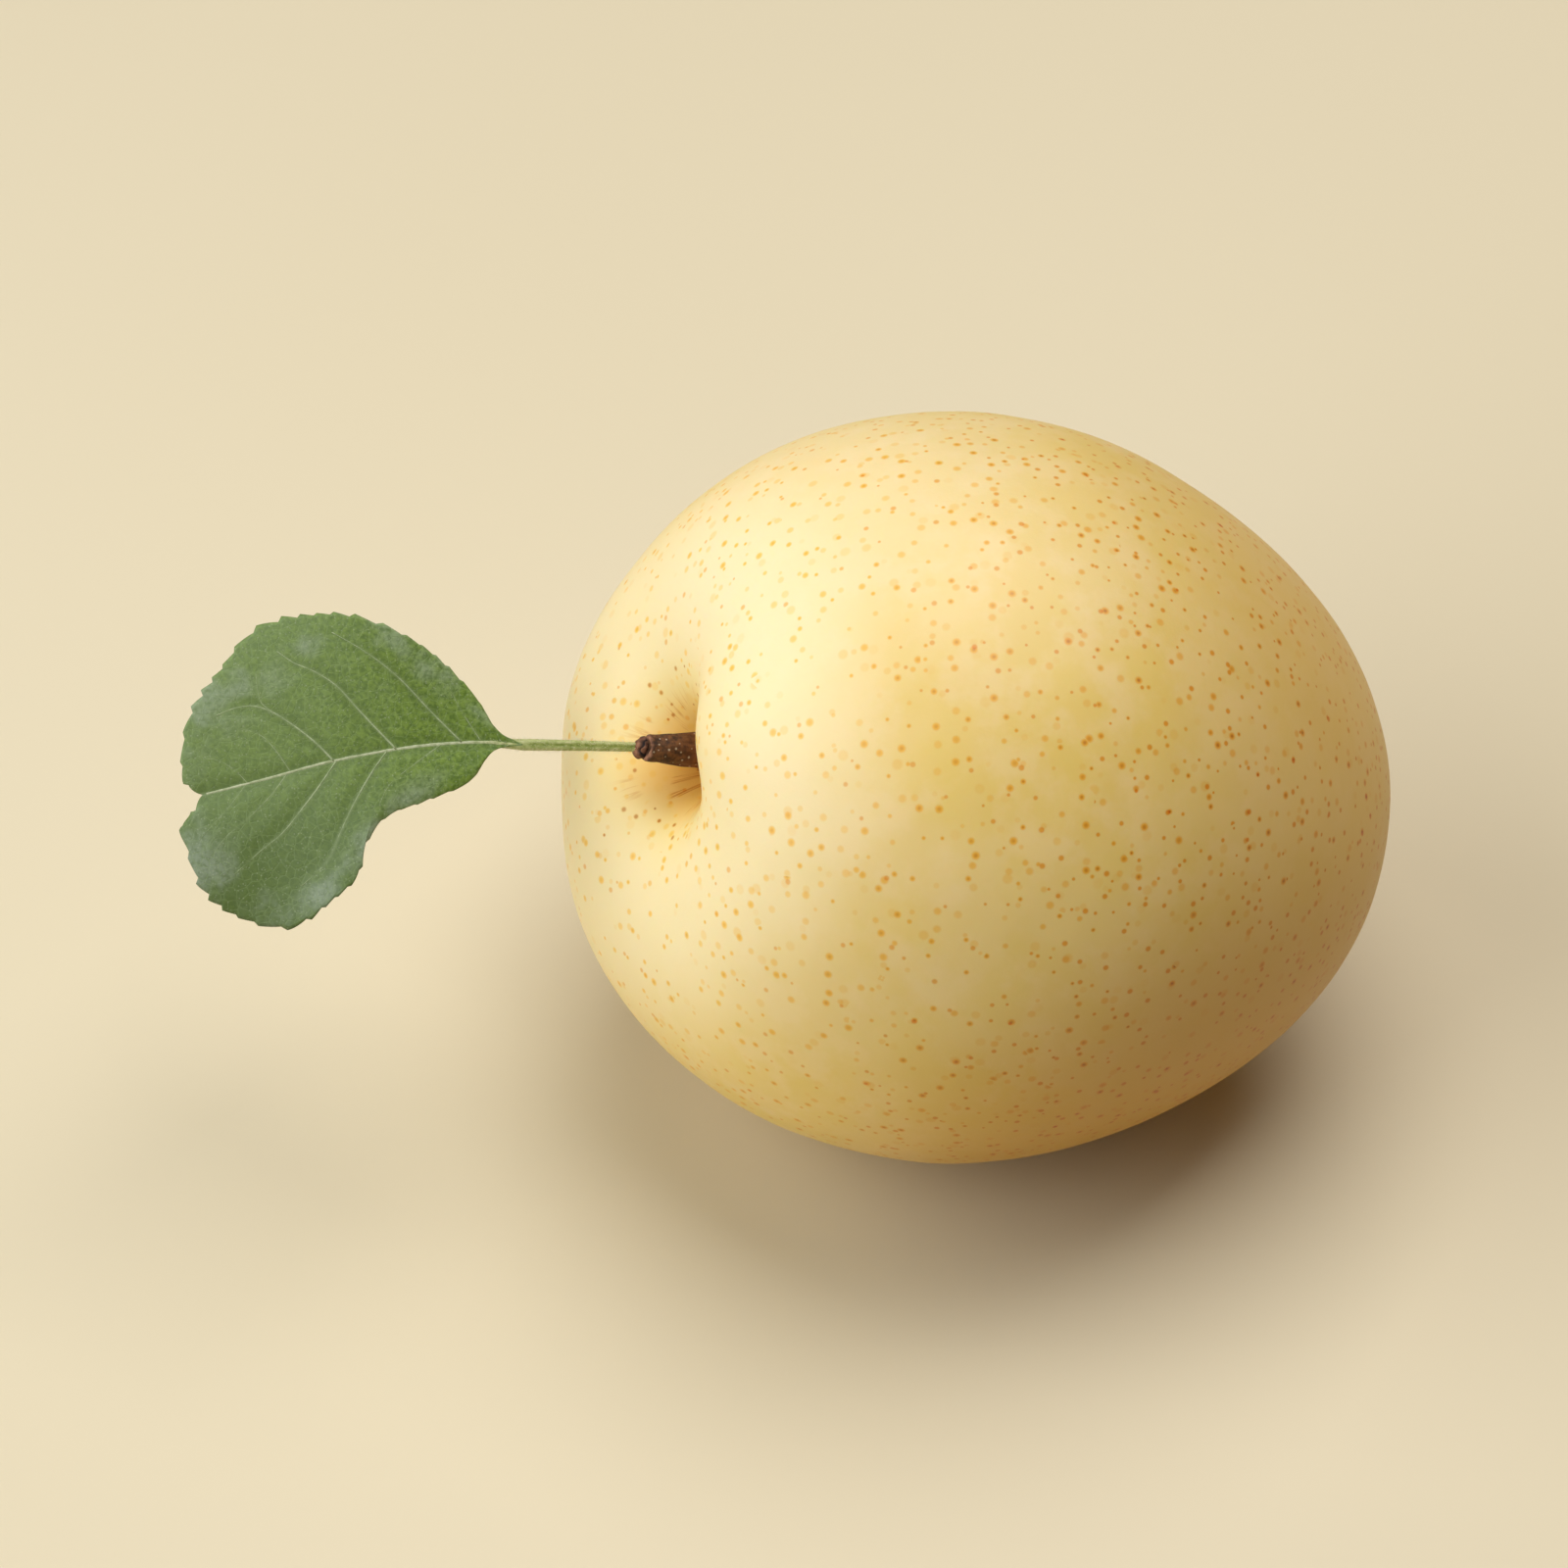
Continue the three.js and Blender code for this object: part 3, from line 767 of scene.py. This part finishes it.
BARK_GRAIN = (0.8, 5.0, 0.65)
BARK_TONES = (colour(52, 34, 20), colour(112, 74, 40), 0.35, 0.68)
BARK_FOOT_WASH = (colour(132, 80, 34), 0.85, 0.5, 0.6)
BARK_SPECK = (0.75, 0.1, 0.4)
BARK_SPECKS_KEPT = 0.55
BARK_SPECK_TONE = colour(208, 192, 164)
BARK_SPECK_SHARE = 0.55
BROKEN_WOOD_TONES = (colour(96, 60, 38), colour(160, 112, 80), 0.3, 0.7)
# Painted shade in the crevice of the broken face
CREVICE_SHADE_TONE = colour(30, 18, 10)
BARK_RELIEF = 0.1

LEAF_MOTTLE = (0.5, 4.0, 0.6)
LEAF_TONES = (colour(80, 105, 26), colour(117, 141, 50), 0.32, 0.68)
# Greyer towards the tip as painted sheen
LEAF_TIP_SHEEN_WASH = (colour(119, 138, 85), 0.1, 0.8, 0.5)
LEAF_LOWER_WASH = (colour(74, 93, 38), 0.0, -14.0, 0.6)
# Painted sheen on the leaf: grey patches near the margin
SHEEN_PATCHES = (6, 3.0, 0.55)
SHEEN_PATCH_RANGE = (0.42, 0.66)
SHEEN_OFF_VEINS = (0.6, 0.1)
SHEEN_BY_MARGIN = (0.3, 0.95, 0.0, 0.5)
SHEEN_GRAIN = (0.5, 3.0, 0.55)
SHEEN_GRAIN_RANGE = (0.25, 0.6, 0.4, 1.0)
SHEEN_TONE = colour(156, 166, 146)
NET_CELL = 1.1
NET_LINE = (0.09, 0.0)
NET_TONE = colour(132, 152, 92)
NET_SHARE = 0.24
NET_DEPTH = 0.4
LEAF_PORE = (0.42, 0.07, 0.5)
PORES_KEPT = 0.5
PORE_TONE = colour(178, 184, 150)
PORE_SHARE = 0.25
# Painted shade in the furrows beside the veins
FURROW_SHADE_WASH = (colour(78, 98, 42), 0.3, 1.0, 0.3)
VEIN_LINE_TONE = colour(152, 166, 118)
VEIN_LINE_SHARE = 0.4
UNDERSIDE_TONE = colour(166, 182, 142)
UNDERSIDE_SHARE = 0.75
LEAF_RELIEF = 0.03

VEIN_GRAIN = (0.8, 4.0, 0.55)
VEIN_TONES = (colour(128, 146, 94), colour(164, 176, 130), 0.3, 0.7)
UNDER_VEIN_TONE = colour(206, 212, 170)
UNDER_VEIN_SHARE = 0.7
VEIN_RELIEF = 0.03
STALK_GRAIN = (0.5, 4.0, 0.55)
STALK_TONES = (colour(150, 160, 84), colour(192, 194, 134), 0.3, 0.7)
GROOVE_TONES = (colour(106, 122, 44), colour(142, 152, 76), 0.3, 0.7)
RIB_TONES = (colour(154, 164, 116), colour(188, 192, 152), 0.3, 0.7)
STALK_RELIEF = 0.05
DOWN_GRAIN = (0.4, 2.0, 0.55)
DOWN_TONES = (colour(214, 206, 170), colour(244, 240, 218))
FLOOR_CLOUDS = (350, 2.0, 0.55)
FLOOR_TONES = (colour(220, 206, 168), colour(228, 215, 180))


def bark_material(group):
    made, tree, place = material("stem_bark", {"Roughness": 0.75, "Specular IOR Level": 0.35})
    grain = noise_value(tree, place, BARK_GRAIN)
    base = two_tone(tree, grain, BARK_TONES)
    base = wash(tree, base, painted(tree, "stem_height"), BARK_FOOT_WASH)
    pale = specks(tree, group, place, BARK_SPECK, BARK_SPECKS_KEPT)
    base = laid(tree, base, BARK_SPECK_TONE, pale["Mask"], BARK_SPECK_SHARE)
    base = mixed(tree, painted(tree, "broken_wood"), base, two_tone(tree, grain, BROKEN_WOOD_TONES))
    # painted shade in the crevice
    base = mixed(tree, painted(tree, "crevice"), base, CREVICE_SHADE_TONE)
    return dressed(made, base, grain, BARK_RELIEF)


def leaf_sheen(tree, place, furrow):
    """Painted sheen: grey in grainy patches, off the veins and mostly near the margin."""
    patch = eased(tree, noise_value(tree, place, SHEEN_PATCHES), *SHEEN_PATCH_RANGE)
    grain = eased(tree, noise_value(tree, place, SHEEN_GRAIN), *SHEEN_GRAIN_RANGE)
    off_veins = eased(tree, furrow, *SHEEN_OFF_VEINS)
    by_margin = eased(tree, painted(tree, "leaf_margin"), *SHEEN_BY_MARGIN)
    return times(tree, times(tree, times(tree, patch, off_veins), by_margin), grain)


def leaf_netting(tree, place):
    """Fine mesh of the smallest veins."""
    inputs = {"Vector": place, "Scale": 1 / (NET_CELL * MM)}
    cells = add(tree, "ShaderNodeTexVoronoi", inputs, feature="DISTANCE_TO_EDGE")
    return eased(tree, cells.outputs["Distance"], *NET_LINE)


def blade_material(group):
    made, tree, place = material("leaf_green", {
        "Roughness": 0.5, "Specular IOR Level": 0.4, "Sheen Weight": 0.06, "Sheen Roughness": 0.4,
    })
    furrow = painted(tree, "vein_furrow")
    mottle = noise_value(tree, place, LEAF_MOTTLE)
    netting = leaf_netting(tree, place)
    pores = specks(tree, group, place, LEAF_PORE, PORES_KEPT)
    base = two_tone(tree, mottle, LEAF_TONES)
    # greyer towards the tip: painted sheen
    base = wash(tree, base, painted(tree, "leaf_along"), LEAF_TIP_SHEEN_WASH)
    base = wash(tree, base, painted(tree, "leaf_rise"), LEAF_LOWER_WASH)
    # painted sheen near the margin
    base = mixed(tree, leaf_sheen(tree, place, furrow), base, SHEEN_TONE)
    base = laid(tree, base, NET_TONE, netting, NET_SHARE)
    base = laid(tree, base, PORE_TONE, pores["Mask"], PORE_SHARE)
    # painted shade in the vein furrows
    base = wash(tree, base, furrow, FURROW_SHADE_WASH)
    base = laid(tree, base, VEIN_LINE_TONE, painted(tree, "vein_line"), VEIN_LINE_SHARE)
    base = laid(tree, base, UNDERSIDE_TONE, painted(tree, "underside"), UNDERSIDE_SHARE)
    relief = worked(tree, "SUBTRACT", mottle, times(tree, netting, NET_DEPTH))
    return dressed(made, base, relief, LEAF_RELIEF)


def vein_material():
    made, tree, place = material("vein_pale", {"Roughness": 0.5, "Specular IOR Level": 0.35})
    grain = noise_value(tree, place, VEIN_GRAIN)
    base = two_tone(tree, grain, VEIN_TONES)
    base = laid(tree, base, UNDER_VEIN_TONE, painted(tree, "underside"), UNDER_VEIN_SHARE)
    return dressed(made, base, grain, VEIN_RELIEF)


def stalk_material():
    made, tree, place = material("stalk_green", {"Roughness": 0.55, "Specular IOR Level": 0.35})
    grain = noise_value(tree, place, STALK_GRAIN)
    base = two_tone(tree, grain, STALK_TONES)
    base = mixed(tree, painted(tree, "groove"), base, two_tone(tree, grain, GROOVE_TONES))
    base = mixed(tree, painted(tree, "on_blade"), base, two_tone(tree, grain, RIB_TONES))
    return dressed(made, base, grain, STALK_RELIEF)


def down_material():
    made, tree, place = material("leaf_down", {"Roughness": 0.7, "Specular IOR Level": 0.3})
    grain = noise_value(tree, place, DOWN_GRAIN)
    return dressed(made, mixed(tree, grain, *DOWN_TONES))


def floor_material():
    made, tree, place = material("pale_floor", {"Roughness": 0.6, "Specular IOR Level": 0.25})
    clouds = noise_value(tree, place, FLOOR_CLOUDS)
    return dressed(made, mixed(tree, clouds, *FLOOR_TONES))


# Fruit

def fruit_grid():
    """Polar and around angles of the fruit's rings from calyx to stem, then of its two poles."""
    share = np.arange(1, FRUIT_RINGS) / FRUIT_RINGS
    polar = math.pi * (1 - share + POLE_CROWDING * np.sin(TURN * share) / TURN)
    around = np.arange(FRUIT_SIDES) * TURN / FRUIT_SIDES
    polar, around = (grid.ravel() for grid in np.meshgrid(polar, around, indexing="ij"))
    return np.concatenate([polar, [math.pi, 0]]), np.concatenate([around, [0, 0]])


def paint_fruit(made, polar, around, outward, from_calyx):
    """What the skin reads: its two ends, the way along its axis, a side for painted light, a side for
    painted shade, and the cracks.
    """
    paint(made, "stem_end", bell(polar, (1, STEM_END_WIDTH)))
    paint(made, "calyx_end", bell(from_calyx, (1, SCAR_WIDTH)))
    paint(made, "along", 0.5 + 0.5 * np.cos(polar))
    # Masks for painted light on the upper side and painted shade on the lower front side
    for name, way in (("painted_shade_side", SHADE_SIDE_WAY), ("painted_light_side", LIT_SIDE_WAY)):
        paint(made, name, outward @ np.array(Vector(way).normalized()))
    streaks = [STREAKS_ROUND * np.cos(around), STREAKS_ROUND * np.sin(around), STREAKS_DOWN * polar]
    paint(made, "streak_place", np.stack(streaks, -1))


def make_fruit(skin):
    polar, around = fruit_grid()
    points = skin_points(polar, around)
    outward = points / np.linalg.norm(points, axis=1, keepdims=True)
    calm = 1 - bell(polar, (1, CALM_WIDTH))
    for size, height in SKIN_LUMPS:
        points = points + outward * (height * calm * rough(points, size))[:, None]
    lobed = SCAR_LOBES * np.cos(LOBES * around) + SCAR_RAGGED * rough(points, SCAR_LUMP)
    from_calyx = (math.pi - polar) * (1 + lobed)
    scar = bell(from_calyx - SCAR_RING, SCAR_RIM) - bell(from_calyx, SCAR_HOLLOW)
    placed = from_fruit(points + outward * scar[:, None])
    placed[:, 2] = np.maximum(placed[:, 2], 0)
    rings = placed[:-2].reshape(FRUIT_RINGS - 1, FRUIT_SIDES, 3)
    made = piece("pear_fruit", *capped(rings, placed[-2:]), skin, "skin", "fruit")
    paint_fruit(made, polar, around, outward @ FRUIT_AXES.T, from_calyx)


# Stem

def stem_axis(share):
    """Points up the middle of the stem, in the fruit's frame."""
    share = np.asarray(share, dtype=float)
    shift = STEM_FOOT_SHIFT + (STEM_TIP_SHIFT - STEM_FOOT_SHIFT) * share
    height = STEM_FOOT + (STEM_TIP - STEM_FOOT) * share
    return np.stack([shift * math.cos(STEM_SHIFT_AT), shift * math.sin(STEM_SHIFT_AT), height], -1)


KNOB_WAY = np.array([math.cos(KNOB_AT), math.sin(KNOB_AT), 0])


def knob_middle():
    return stem_axis(1) + KNOB_OFFSET * KNOB_WAY + np.array([0, 0, KNOB_RISE])


def stem_rings(sides=48, count=60):
    """Rings of the stem from its foot to its broken face, which is sunk in the middle."""
    share = np.linspace(0, 1, count)
    taper = (STEM_FOOT_RADIUS - STEM_WAIST_RADIUS) * (1 - share**STEM_TAPER_POWER)
    flare = (STEM_TIP_RADIUS - STEM_WAIST_RADIUS) * share**TIP_FLARE_POWER
    radius = np.concatenate([STEM_WAIST_RADIUS + taper + flare, STEM_TIP_RADIUS * FACE_INWARD])
    axis = np.concatenate([stem_axis(share), stem_axis(np.ones(len(FACE_RISE)))])
    axis[count:, 2] += FACE_RISE
    angle = np.arange(sides) * TURN / sides
    spokes = np.stack([np.cos(angle), np.sin(angle), 0 * angle], -1)
    return axis[:, None] + radius[:, None, None] * spokes


def knob_rings(sides=32, count=20):
    """Rings of the leaning lump beside the broken face, which the leaf grows from."""
    polar = np.linspace(math.pi, 0, count + 2)[1:-1, None]
    angle = np.arange(sides) * TURN / sides
    out, cross, rise = KNOB_HALF_SIZES
    round_ball = [np.sin(polar) * np.cos(angle), np.sin(polar) * np.sin(angle), np.cos(polar) + 0 * angle]
    axial = np.array([0, 0, 1])
    sideways = np.cross(axial, KNOB_WAY)
    lean_up = math.cos(KNOB_LEAN) * axial + math.sin(KNOB_LEAN) * -sideways
    lean_side = math.cos(KNOB_LEAN) * sideways + math.sin(KNOB_LEAN) * axial
    axes = (out * KNOB_WAY, cross * lean_side, rise * lean_up)
    return knob_middle() + sum(part[..., None] * axis for part, axis in zip(round_ball, axes))


def make_stem(bark):
    points, faces = melted(*joined([capped(stem_rings()), capped(knob_rings())]), BARK_STEP)
    share = (points[:, 2] - STEM_FOOT) / (STEM_TIP - STEM_FOOT)
    aside = (points - stem_axis(share)) * np.array([1, 1, 0])
    reach = np.linalg.norm(aside, axis=1)
    outward = aside / np.maximum(reach, LEAST_REACH)[:, None]
    face = np.clip((points[:, 2] - STEM_TIP + FACE_BAND) / FACE_BLEND, 0, 1)
    furrows = rough(aside + np.outer(share, [0, 0, BARK_FURROW_STRETCH]), BARK_FURROW_SIZE)
    lumps = rough(points, BARK_LUMP, BARK_SEED)
    points = points + outward * (BARK_FURROW_HEIGHT * furrows + BARK_LUMP_HEIGHT * lumps)[:, None]
    from_crevice = aside @ KNOB_WAY - CREVICE_AT - CREVICE_WAVER * furrows
    crevice = face * bell(from_crevice, (1, CREVICE_WIDTH))
    grain = rough(points, FACE_GRAIN, FACE_SEED)
    points[:, 2] += face * FACE_GRAIN_HEIGHT * grain - CREVICE_DEPTH * crevice
    made = piece("woody_stem", from_fruit(points), faces, bark, "bark", "stem")
    paint(made, "stem_height", share)
    paint(made, "broken_wood", face * np.clip((WOOD_RADIUS - reach) / WOOD_BLEND, 0, 1))
    # Mask for the painted shade in the crevice
    paint(made, "crevice", np.clip(CREVICE_SHADE * crevice, 0, 1))


# Leaf

MIDRIB_LINE = SmoothLine(MIDRIB)
UPPER = (SmoothLine(UPPER_MARGIN), UPPER_WAVE, UPPER_TEETH_FROM, 1)
LOWER = (SmoothLine(LOWER_MARGIN), LOWER_WAVE, LOWER_TEETH_FROM, -1)
VEIN_LINES = [SmoothLine(points) for _, points in SIDE_VEINS]


def tooth_count(share):
    """Teeth from the foot of the blade to a share of its margin, not quite evenly spaced."""
    return TEETH * share + TOOTH_DRIFT * np.sin(TOOTH_DRIFT_TURNS * TURN * share)


def tooth(share, teeth_from):
    """How far the margin stands out: a saw that falls back past the top of each tooth."""
    count = tooth_count(share)
    phase = count % 1
    saw = np.where(phase <= TOOTH_TOP, phase / TOOTH_TOP, (1 - phase) / (1 - TOOTH_TOP))
    fade = np.minimum(np.clip(share / teeth_from, 0, 1), (1 - share) / TOOTH_FADE_TIP)
    uneven = 1 + TOOTH_UNEVEN * np.sin(TOOTH_RHYTHM * np.floor(count))
    return TOOTH_DEPTH * saw * fade * uneven


def blade_points(half, share, across):
    """Points halfway through the blade: its length share, and the share of the way to the margin."""
    margin, (height, count, crest), teeth_from, outward = half
    spine, edge, run = MIDRIB_LINE.at(share), margin.at(share), margin.run_at(share)
    reach = np.linalg.norm(edge - spine, axis=-1) * across
    flat = spine + (edge - spine) * across[:, None]
    out = outward * np.stack([-run[:, 1], run[:, 0]], -1)
    flat = flat + out * (tooth(share, teeth_from) * across**TOOTH_REACH_POWER)[:, None]
    ripple = np.cos(TURN * count * (share - crest))
    lift = FOLD * reach + height * ripple * (reach / WAVE_REACH) ** 2 - DROOP * flat[:, 0] ** 2
    return np.column_stack([-flat[:, 0], flat[:, 1], lift])


def blade_grid():
    """Points halfway through the blade in rows from foot to tip, each from lower to upper margin."""
    even = np.linspace(0, 1, EVEN_STEPS)
    steps = np.arange(TEETH * TOOTH_ROWS) / TOOTH_ROWS
    rows = np.append(np.interp(steps, tooth_count(even), even), BLADE_END)
    across = np.linspace(0, 1, BLADE_STEPS + 1)
    share, reach = (grid.ravel() for grid in np.meshgrid(rows, across, indexing="ij"))
    upper = blade_points(UPPER, share, reach).reshape(len(rows), -1, 3)
    lower = blade_points(LOWER, share, reach).reshape(len(rows), -1, 3)
    return np.concatenate([lower[:, :0:-1], upper], 1), np.concatenate([across[:0:-1], across])


BLADE_GRID, BLADE_ACROSS = blade_grid()


def vein_traces(flat):
    """How much of a furrow, and of a pale line, the veins leave at points in the blade's plane."""
    furrow, pale = np.zeros(len(flat)), np.zeros(len(flat))
    share = np.linspace(0, 1, TRACE_STEPS)
    traced = [(MIDRIB_LINE, np.ones(TRACE_STEPS))]
    for (width, _), line in zip(SIDE_VEINS, VEIN_LINES):
        traced.append((line, min(width / FULL_VEIN, 1) * (1 - share**VEIN_FADE_POWER)))
    for line, strengths in traced:
        points = line.at(share)
        for start, step, strength in zip(points, np.diff(points, axis=0), strengths):
            along = np.clip((flat - start) @ step / (step @ step), 0, 1)
            distance = np.linalg.norm(flat - start - along[:, None] * step, axis=1)
            furrow = np.maximum(furrow, bell(distance, (strength, FURROW_WIDTH)))
            pale = np.maximum(pale, bell(distance, (strength, LINE_WIDTH)))
    return furrow, pale


def blade_faces(rows, width):
    """Quads of an upper and an under face with the same points, and of the rim between them."""
    count = rows * width
    row, step = np.meshgrid(np.arange(rows - 1), np.arange(width - 1), indexing="ij")
    low = row * width + step
    top = np.stack([low, low + 1, low + width + 1, low + width], -1).reshape(-1, 4)
    edge = np.concatenate([
        np.arange(width - 1), np.arange(rows - 1) * width + width - 1,
        np.arange(count - 1, count - width, -1), np.arange(rows - 1, 0, -1) * width,
    ])
    after = np.roll(edge, -1)
    rim = np.stack([after, edge, count + edge, count + after], -1)
    return np.concatenate([top, count + top[:, ::-1], rim]).tolist()


def make_blade(green):
    rows, width = BLADE_GRID.shape[:2]
    middle = BLADE_GRID.reshape(-1, 3)
    furrow, pale = vein_traces(middle[:, :2] * np.array([-1, 1]))
    margin = np.tile(BLADE_ACROSS, rows)
    swell = SWELL * (1 - furrow) * (1 - margin**SWELL_POWER)
    swell += PUCKER_HEIGHT * rough(middle, PUCKER_SIZE)
    half = BLADE_THICKNESS / 2 * (1 - EDGE_THINNING * margin**EDGE_POWER)
    upward = np.array([0, 0, 1])
    top = middle + np.outer(swell + half, upward)
    under = middle + np.outer(swell - half, upward)
    points = from_blade(np.concatenate([top, under]))
    made = piece("leaf_blade", points, blade_faces(rows, width), green, "leaf", "leaf")
    paint(made, "underside", np.repeat([0.0, 1.0], len(middle)))
    paint(made, "vein_furrow", np.tile(furrow, 2))
    paint(made, "vein_line", np.tile(pale, 2))
    paint(made, "leaf_along", np.tile(-middle[:, 0] / LEAF_LENGTH, 2))
    paint(made, "leaf_rise", np.tile(middle[:, 1], 2))
    paint(made, "leaf_margin", np.tile(margin, 2))


def blade_height(flat):
    """Height of the middle of the blade over points in its plane."""
    known = BLADE_GRID.reshape(-1, 3)
    found = [np.argmin((known[:, 0] + x) ** 2 + (known[:, 1] - y) ** 2) for x, y in flat]
    return known[found, 2]


def make_veins(pale):
    """Veins that stand a little out of the upper face and more out of the under face."""
    parts, under = [], []
    share = np.linspace(0, 1, VEIN_STEPS)
    window = np.ones(2 * LIFT_REACH + 1) / (2 * LIFT_REACH + 1)
    for (width, _), line in zip(SIDE_VEINS, VEIN_LINES):
        flat = line.at(share)
        lift = np.convolve(np.pad(blade_height(flat), LIFT_REACH, mode="edge"), window, mode="valid")
        lift += SWELL * (1 - vein_traces(flat)[0])
        radius = width / 2 * (1 - VEIN_TAPER * share)
        above = lift + BLADE_THICKNESS / 2 - radius * (VEIN_SINK + VEIN_SINK_GAIN * share)
        below = lift - BLADE_THICKNESS / 2 + radius * share
        for height, scale, side in ((above, 1, 0.0), (below, UNDER_VEIN, 1.0)):
            path = np.column_stack([-flat[:, 0], flat[:, 1], height])
            parts.append(capped(bar(path, scale * radius, VEIN_SIDES)))
            under += [side] * len(parts[-1][0])
    points, faces = joined(parts)
    made = piece("leaf_veins", from_blade(points), faces, pale, "leaf")
    paint(made, "underside", under)


def stalk_path():
    """Middle line and radii of the leaf stalk from the knob to the blade, and on as the midrib."""
    start = to_blade(from_fruit(knob_middle()))
    bend = start + np.array(STALK_BEND)
    foot = np.array([-MIDRIB[0][0], MIDRIB[0][1], -RIB_DROP])
    share = np.linspace(0, 1, STALK_STEPS)[:, None]
    stalk = (1 - share) ** 2 * start + 2 * share * (1 - share) * bend + share**2 * foot
    stalk_radius = np.linspace(STALK_START_RADIUS, STALK_FOOT_RADIUS, STALK_STEPS)
    along = np.linspace(0, RIB_REACH, RIB_STEPS)[1:]
    rib = blade_points(UPPER, along, np.zeros_like(along))
    rib_radius = STALK_FOOT_RADIUS + (RIB_END_RADIUS - STALK_FOOT_RADIUS) * np.sqrt(along)
    showing = np.interp(along, [0, 1], RIB_SHOWING)
    rib[:, 2] += BLADE_THICKNESS / 2 - np.sqrt(np.maximum(rib_radius**2 - showing**2, 0))
    return np.concatenate([stalk, rib]), np.concatenate([stalk_radius, rib_radius])


def make_stalk(green):
    path, radii = stalk_path()
    past_foot = np.arange(len(path)) - STALK_STEPS
    angle = np.arange(STALK_SIDES) * TURN / STALK_SIDES
    fade = np.clip((GROOVE_PAST_FOOT - past_foot) / GROOVE_FADE, 0, 1)
    groove = np.outer(fade, bell(angle - TURN / 4, (1, GROOVE_WIDTH)))
    points, faces = capped(bar(path, radii, STALK_SIDES, GROOVE_DEPTH * groove))
    made = piece("leaf_stalk", from_blade(points), faces, green, "leaf")
    on_blade = np.clip(past_foot / RIB_BLEND, 0, 1)
    paint(made, "groove", np.append(groove.ravel(), [0, 0]))
    paint(made, "on_blade", np.append(np.repeat(on_blade, STALK_SIDES), [0, 1]))


def stalk_hair(draw, path, radii, runs):
    """A fine hair at a chance place on the leaf stalk, leaning along it."""
    place = draw.randrange(DOWN_FROM, STALK_STEPS + DOWN_PAST_FOOT)
    run = runs[place]
    side = np.cross([0, 0, 1], run)
    angle = draw.uniform(0, TURN)
    out = side * math.cos(angle) + np.cross(run, side) * math.sin(angle)
    stray = np.array([draw.uniform(-DOWN_STRAY, DOWN_STRAY) for _ in range(3)])
    lean = run * draw.uniform(*DOWN_LEAN) + out + stray
    length = draw.uniform(*DOWN_LENGTH) / np.linalg.norm(lean)
    share = np.linspace(0, 1, len(DOWN_RADII))[:, None]
    root = path[place] + out * radii[place] * DOWN_ROOT
    return capped(bar(root + lean * length * share + run * DOWN_BEND * share**2, DOWN_RADII, DOWN_SIDES))


def make_down(pale):
    """Fine hairs on the leaf stalk."""
    draw = random.Random(DOWN_SEED)
    path, radii = stalk_path()
    runs = np.gradient(path, axis=0)
    runs /= np.linalg.norm(runs, axis=1, keepdims=True)
    points, faces = joined([stalk_hair(draw, path, radii, runs) for _ in range(DOWN_HAIRS)])
    piece("leaf_down", from_blade(points), faces, pale, "leaf")


# Stage

def make_floor(pale):
    half = FLOOR_WIDTH / 2
    mesh = bpy.data.meshes.new("floor")
    corners = [(-half, -half, 0), (half, -half, 0), (half, half, 0), (-half, half, 0)]
    mesh.from_pydata(corners, [], [(0, 1, 2, 3)])
    mesh.materials.append(pale)
    floor = bpy.data.objects.new("floor", mesh)
    bpy.context.scene.collection.objects.link(floor)


def make_light(name, way, distance, size, watts, tint):
    """A square softbox that faces the fruit from a direction."""
    middle = Vector(FRUIT_MIDDLE * MM)
    lamp = bpy.data.lights.new(name, "AREA")
    lamp.size = size
    lamp.energy = watts
    lamp.color = tint
    made = bpy.data.objects.new(name, lamp)
    made.location = middle + Vector(way).normalized() * distance
    made.rotation_euler = (middle - made.location).to_track_quat("-Z", "Y").to_euler()
    bpy.context.scene.collection.objects.link(made)


def make_lights():
    for name, softbox in SOFTBOXES.items():
        make_light(name, *softbox)
    world = bpy.data.worlds.new("studio")
    world.use_nodes = True
    backdrop = world.node_tree.nodes["Background"]
    backdrop.inputs["Color"].default_value = STUDIO_TINT
    backdrop.inputs["Strength"].default_value = STUDIO_STRENGTH
    bpy.context.scene.world = world


def make_camera():
    """Looks down on the pear from the front, nearly square to the leaf."""
    up = Vector((0, math.sin(CAMERA_PITCH), math.cos(CAMERA_PITCH)))
    back = Vector((0, -math.cos(CAMERA_PITCH), math.sin(CAMERA_PITCH)))
    middle = Vector(FRUIT_MIDDLE)
    place = middle + back * CAMERA_DISTANCE
    aim = middle + Vector((CAMERA_ASIDE, 0, 0)) + up * CAMERA_UP
    forward = (aim - place).normalized()
    right = forward.cross(up).normalized()
    lens = bpy.data.cameras.new("camera")
    lens.lens = lens.sensor_width * CAMERA_DISTANCE / CAMERA_FIELD
    lens.clip_start = NEAR_CLIP
    camera = bpy.data.objects.new("camera", lens)
    turn = Matrix((right, right.cross(forward), -forward)).transposed()
    camera.matrix_world = Matrix.LocRotScale(place * MM, turn, None)
    bpy.context.scene.collection.objects.link(camera)
    bpy.context.scene.camera = camera


def main():
    group = speck_group()
    make_fruit(skin_material(group))
    make_stem(bark_material(group))
    make_blade(blade_material(group))
    make_veins(vein_material())
    make_stalk(stalk_material())
    make_down(down_material())
    make_floor(floor_material())
    make_lights()
    make_camera()
    bpy.context.scene.view_settings.view_transform = "Standard"


main()
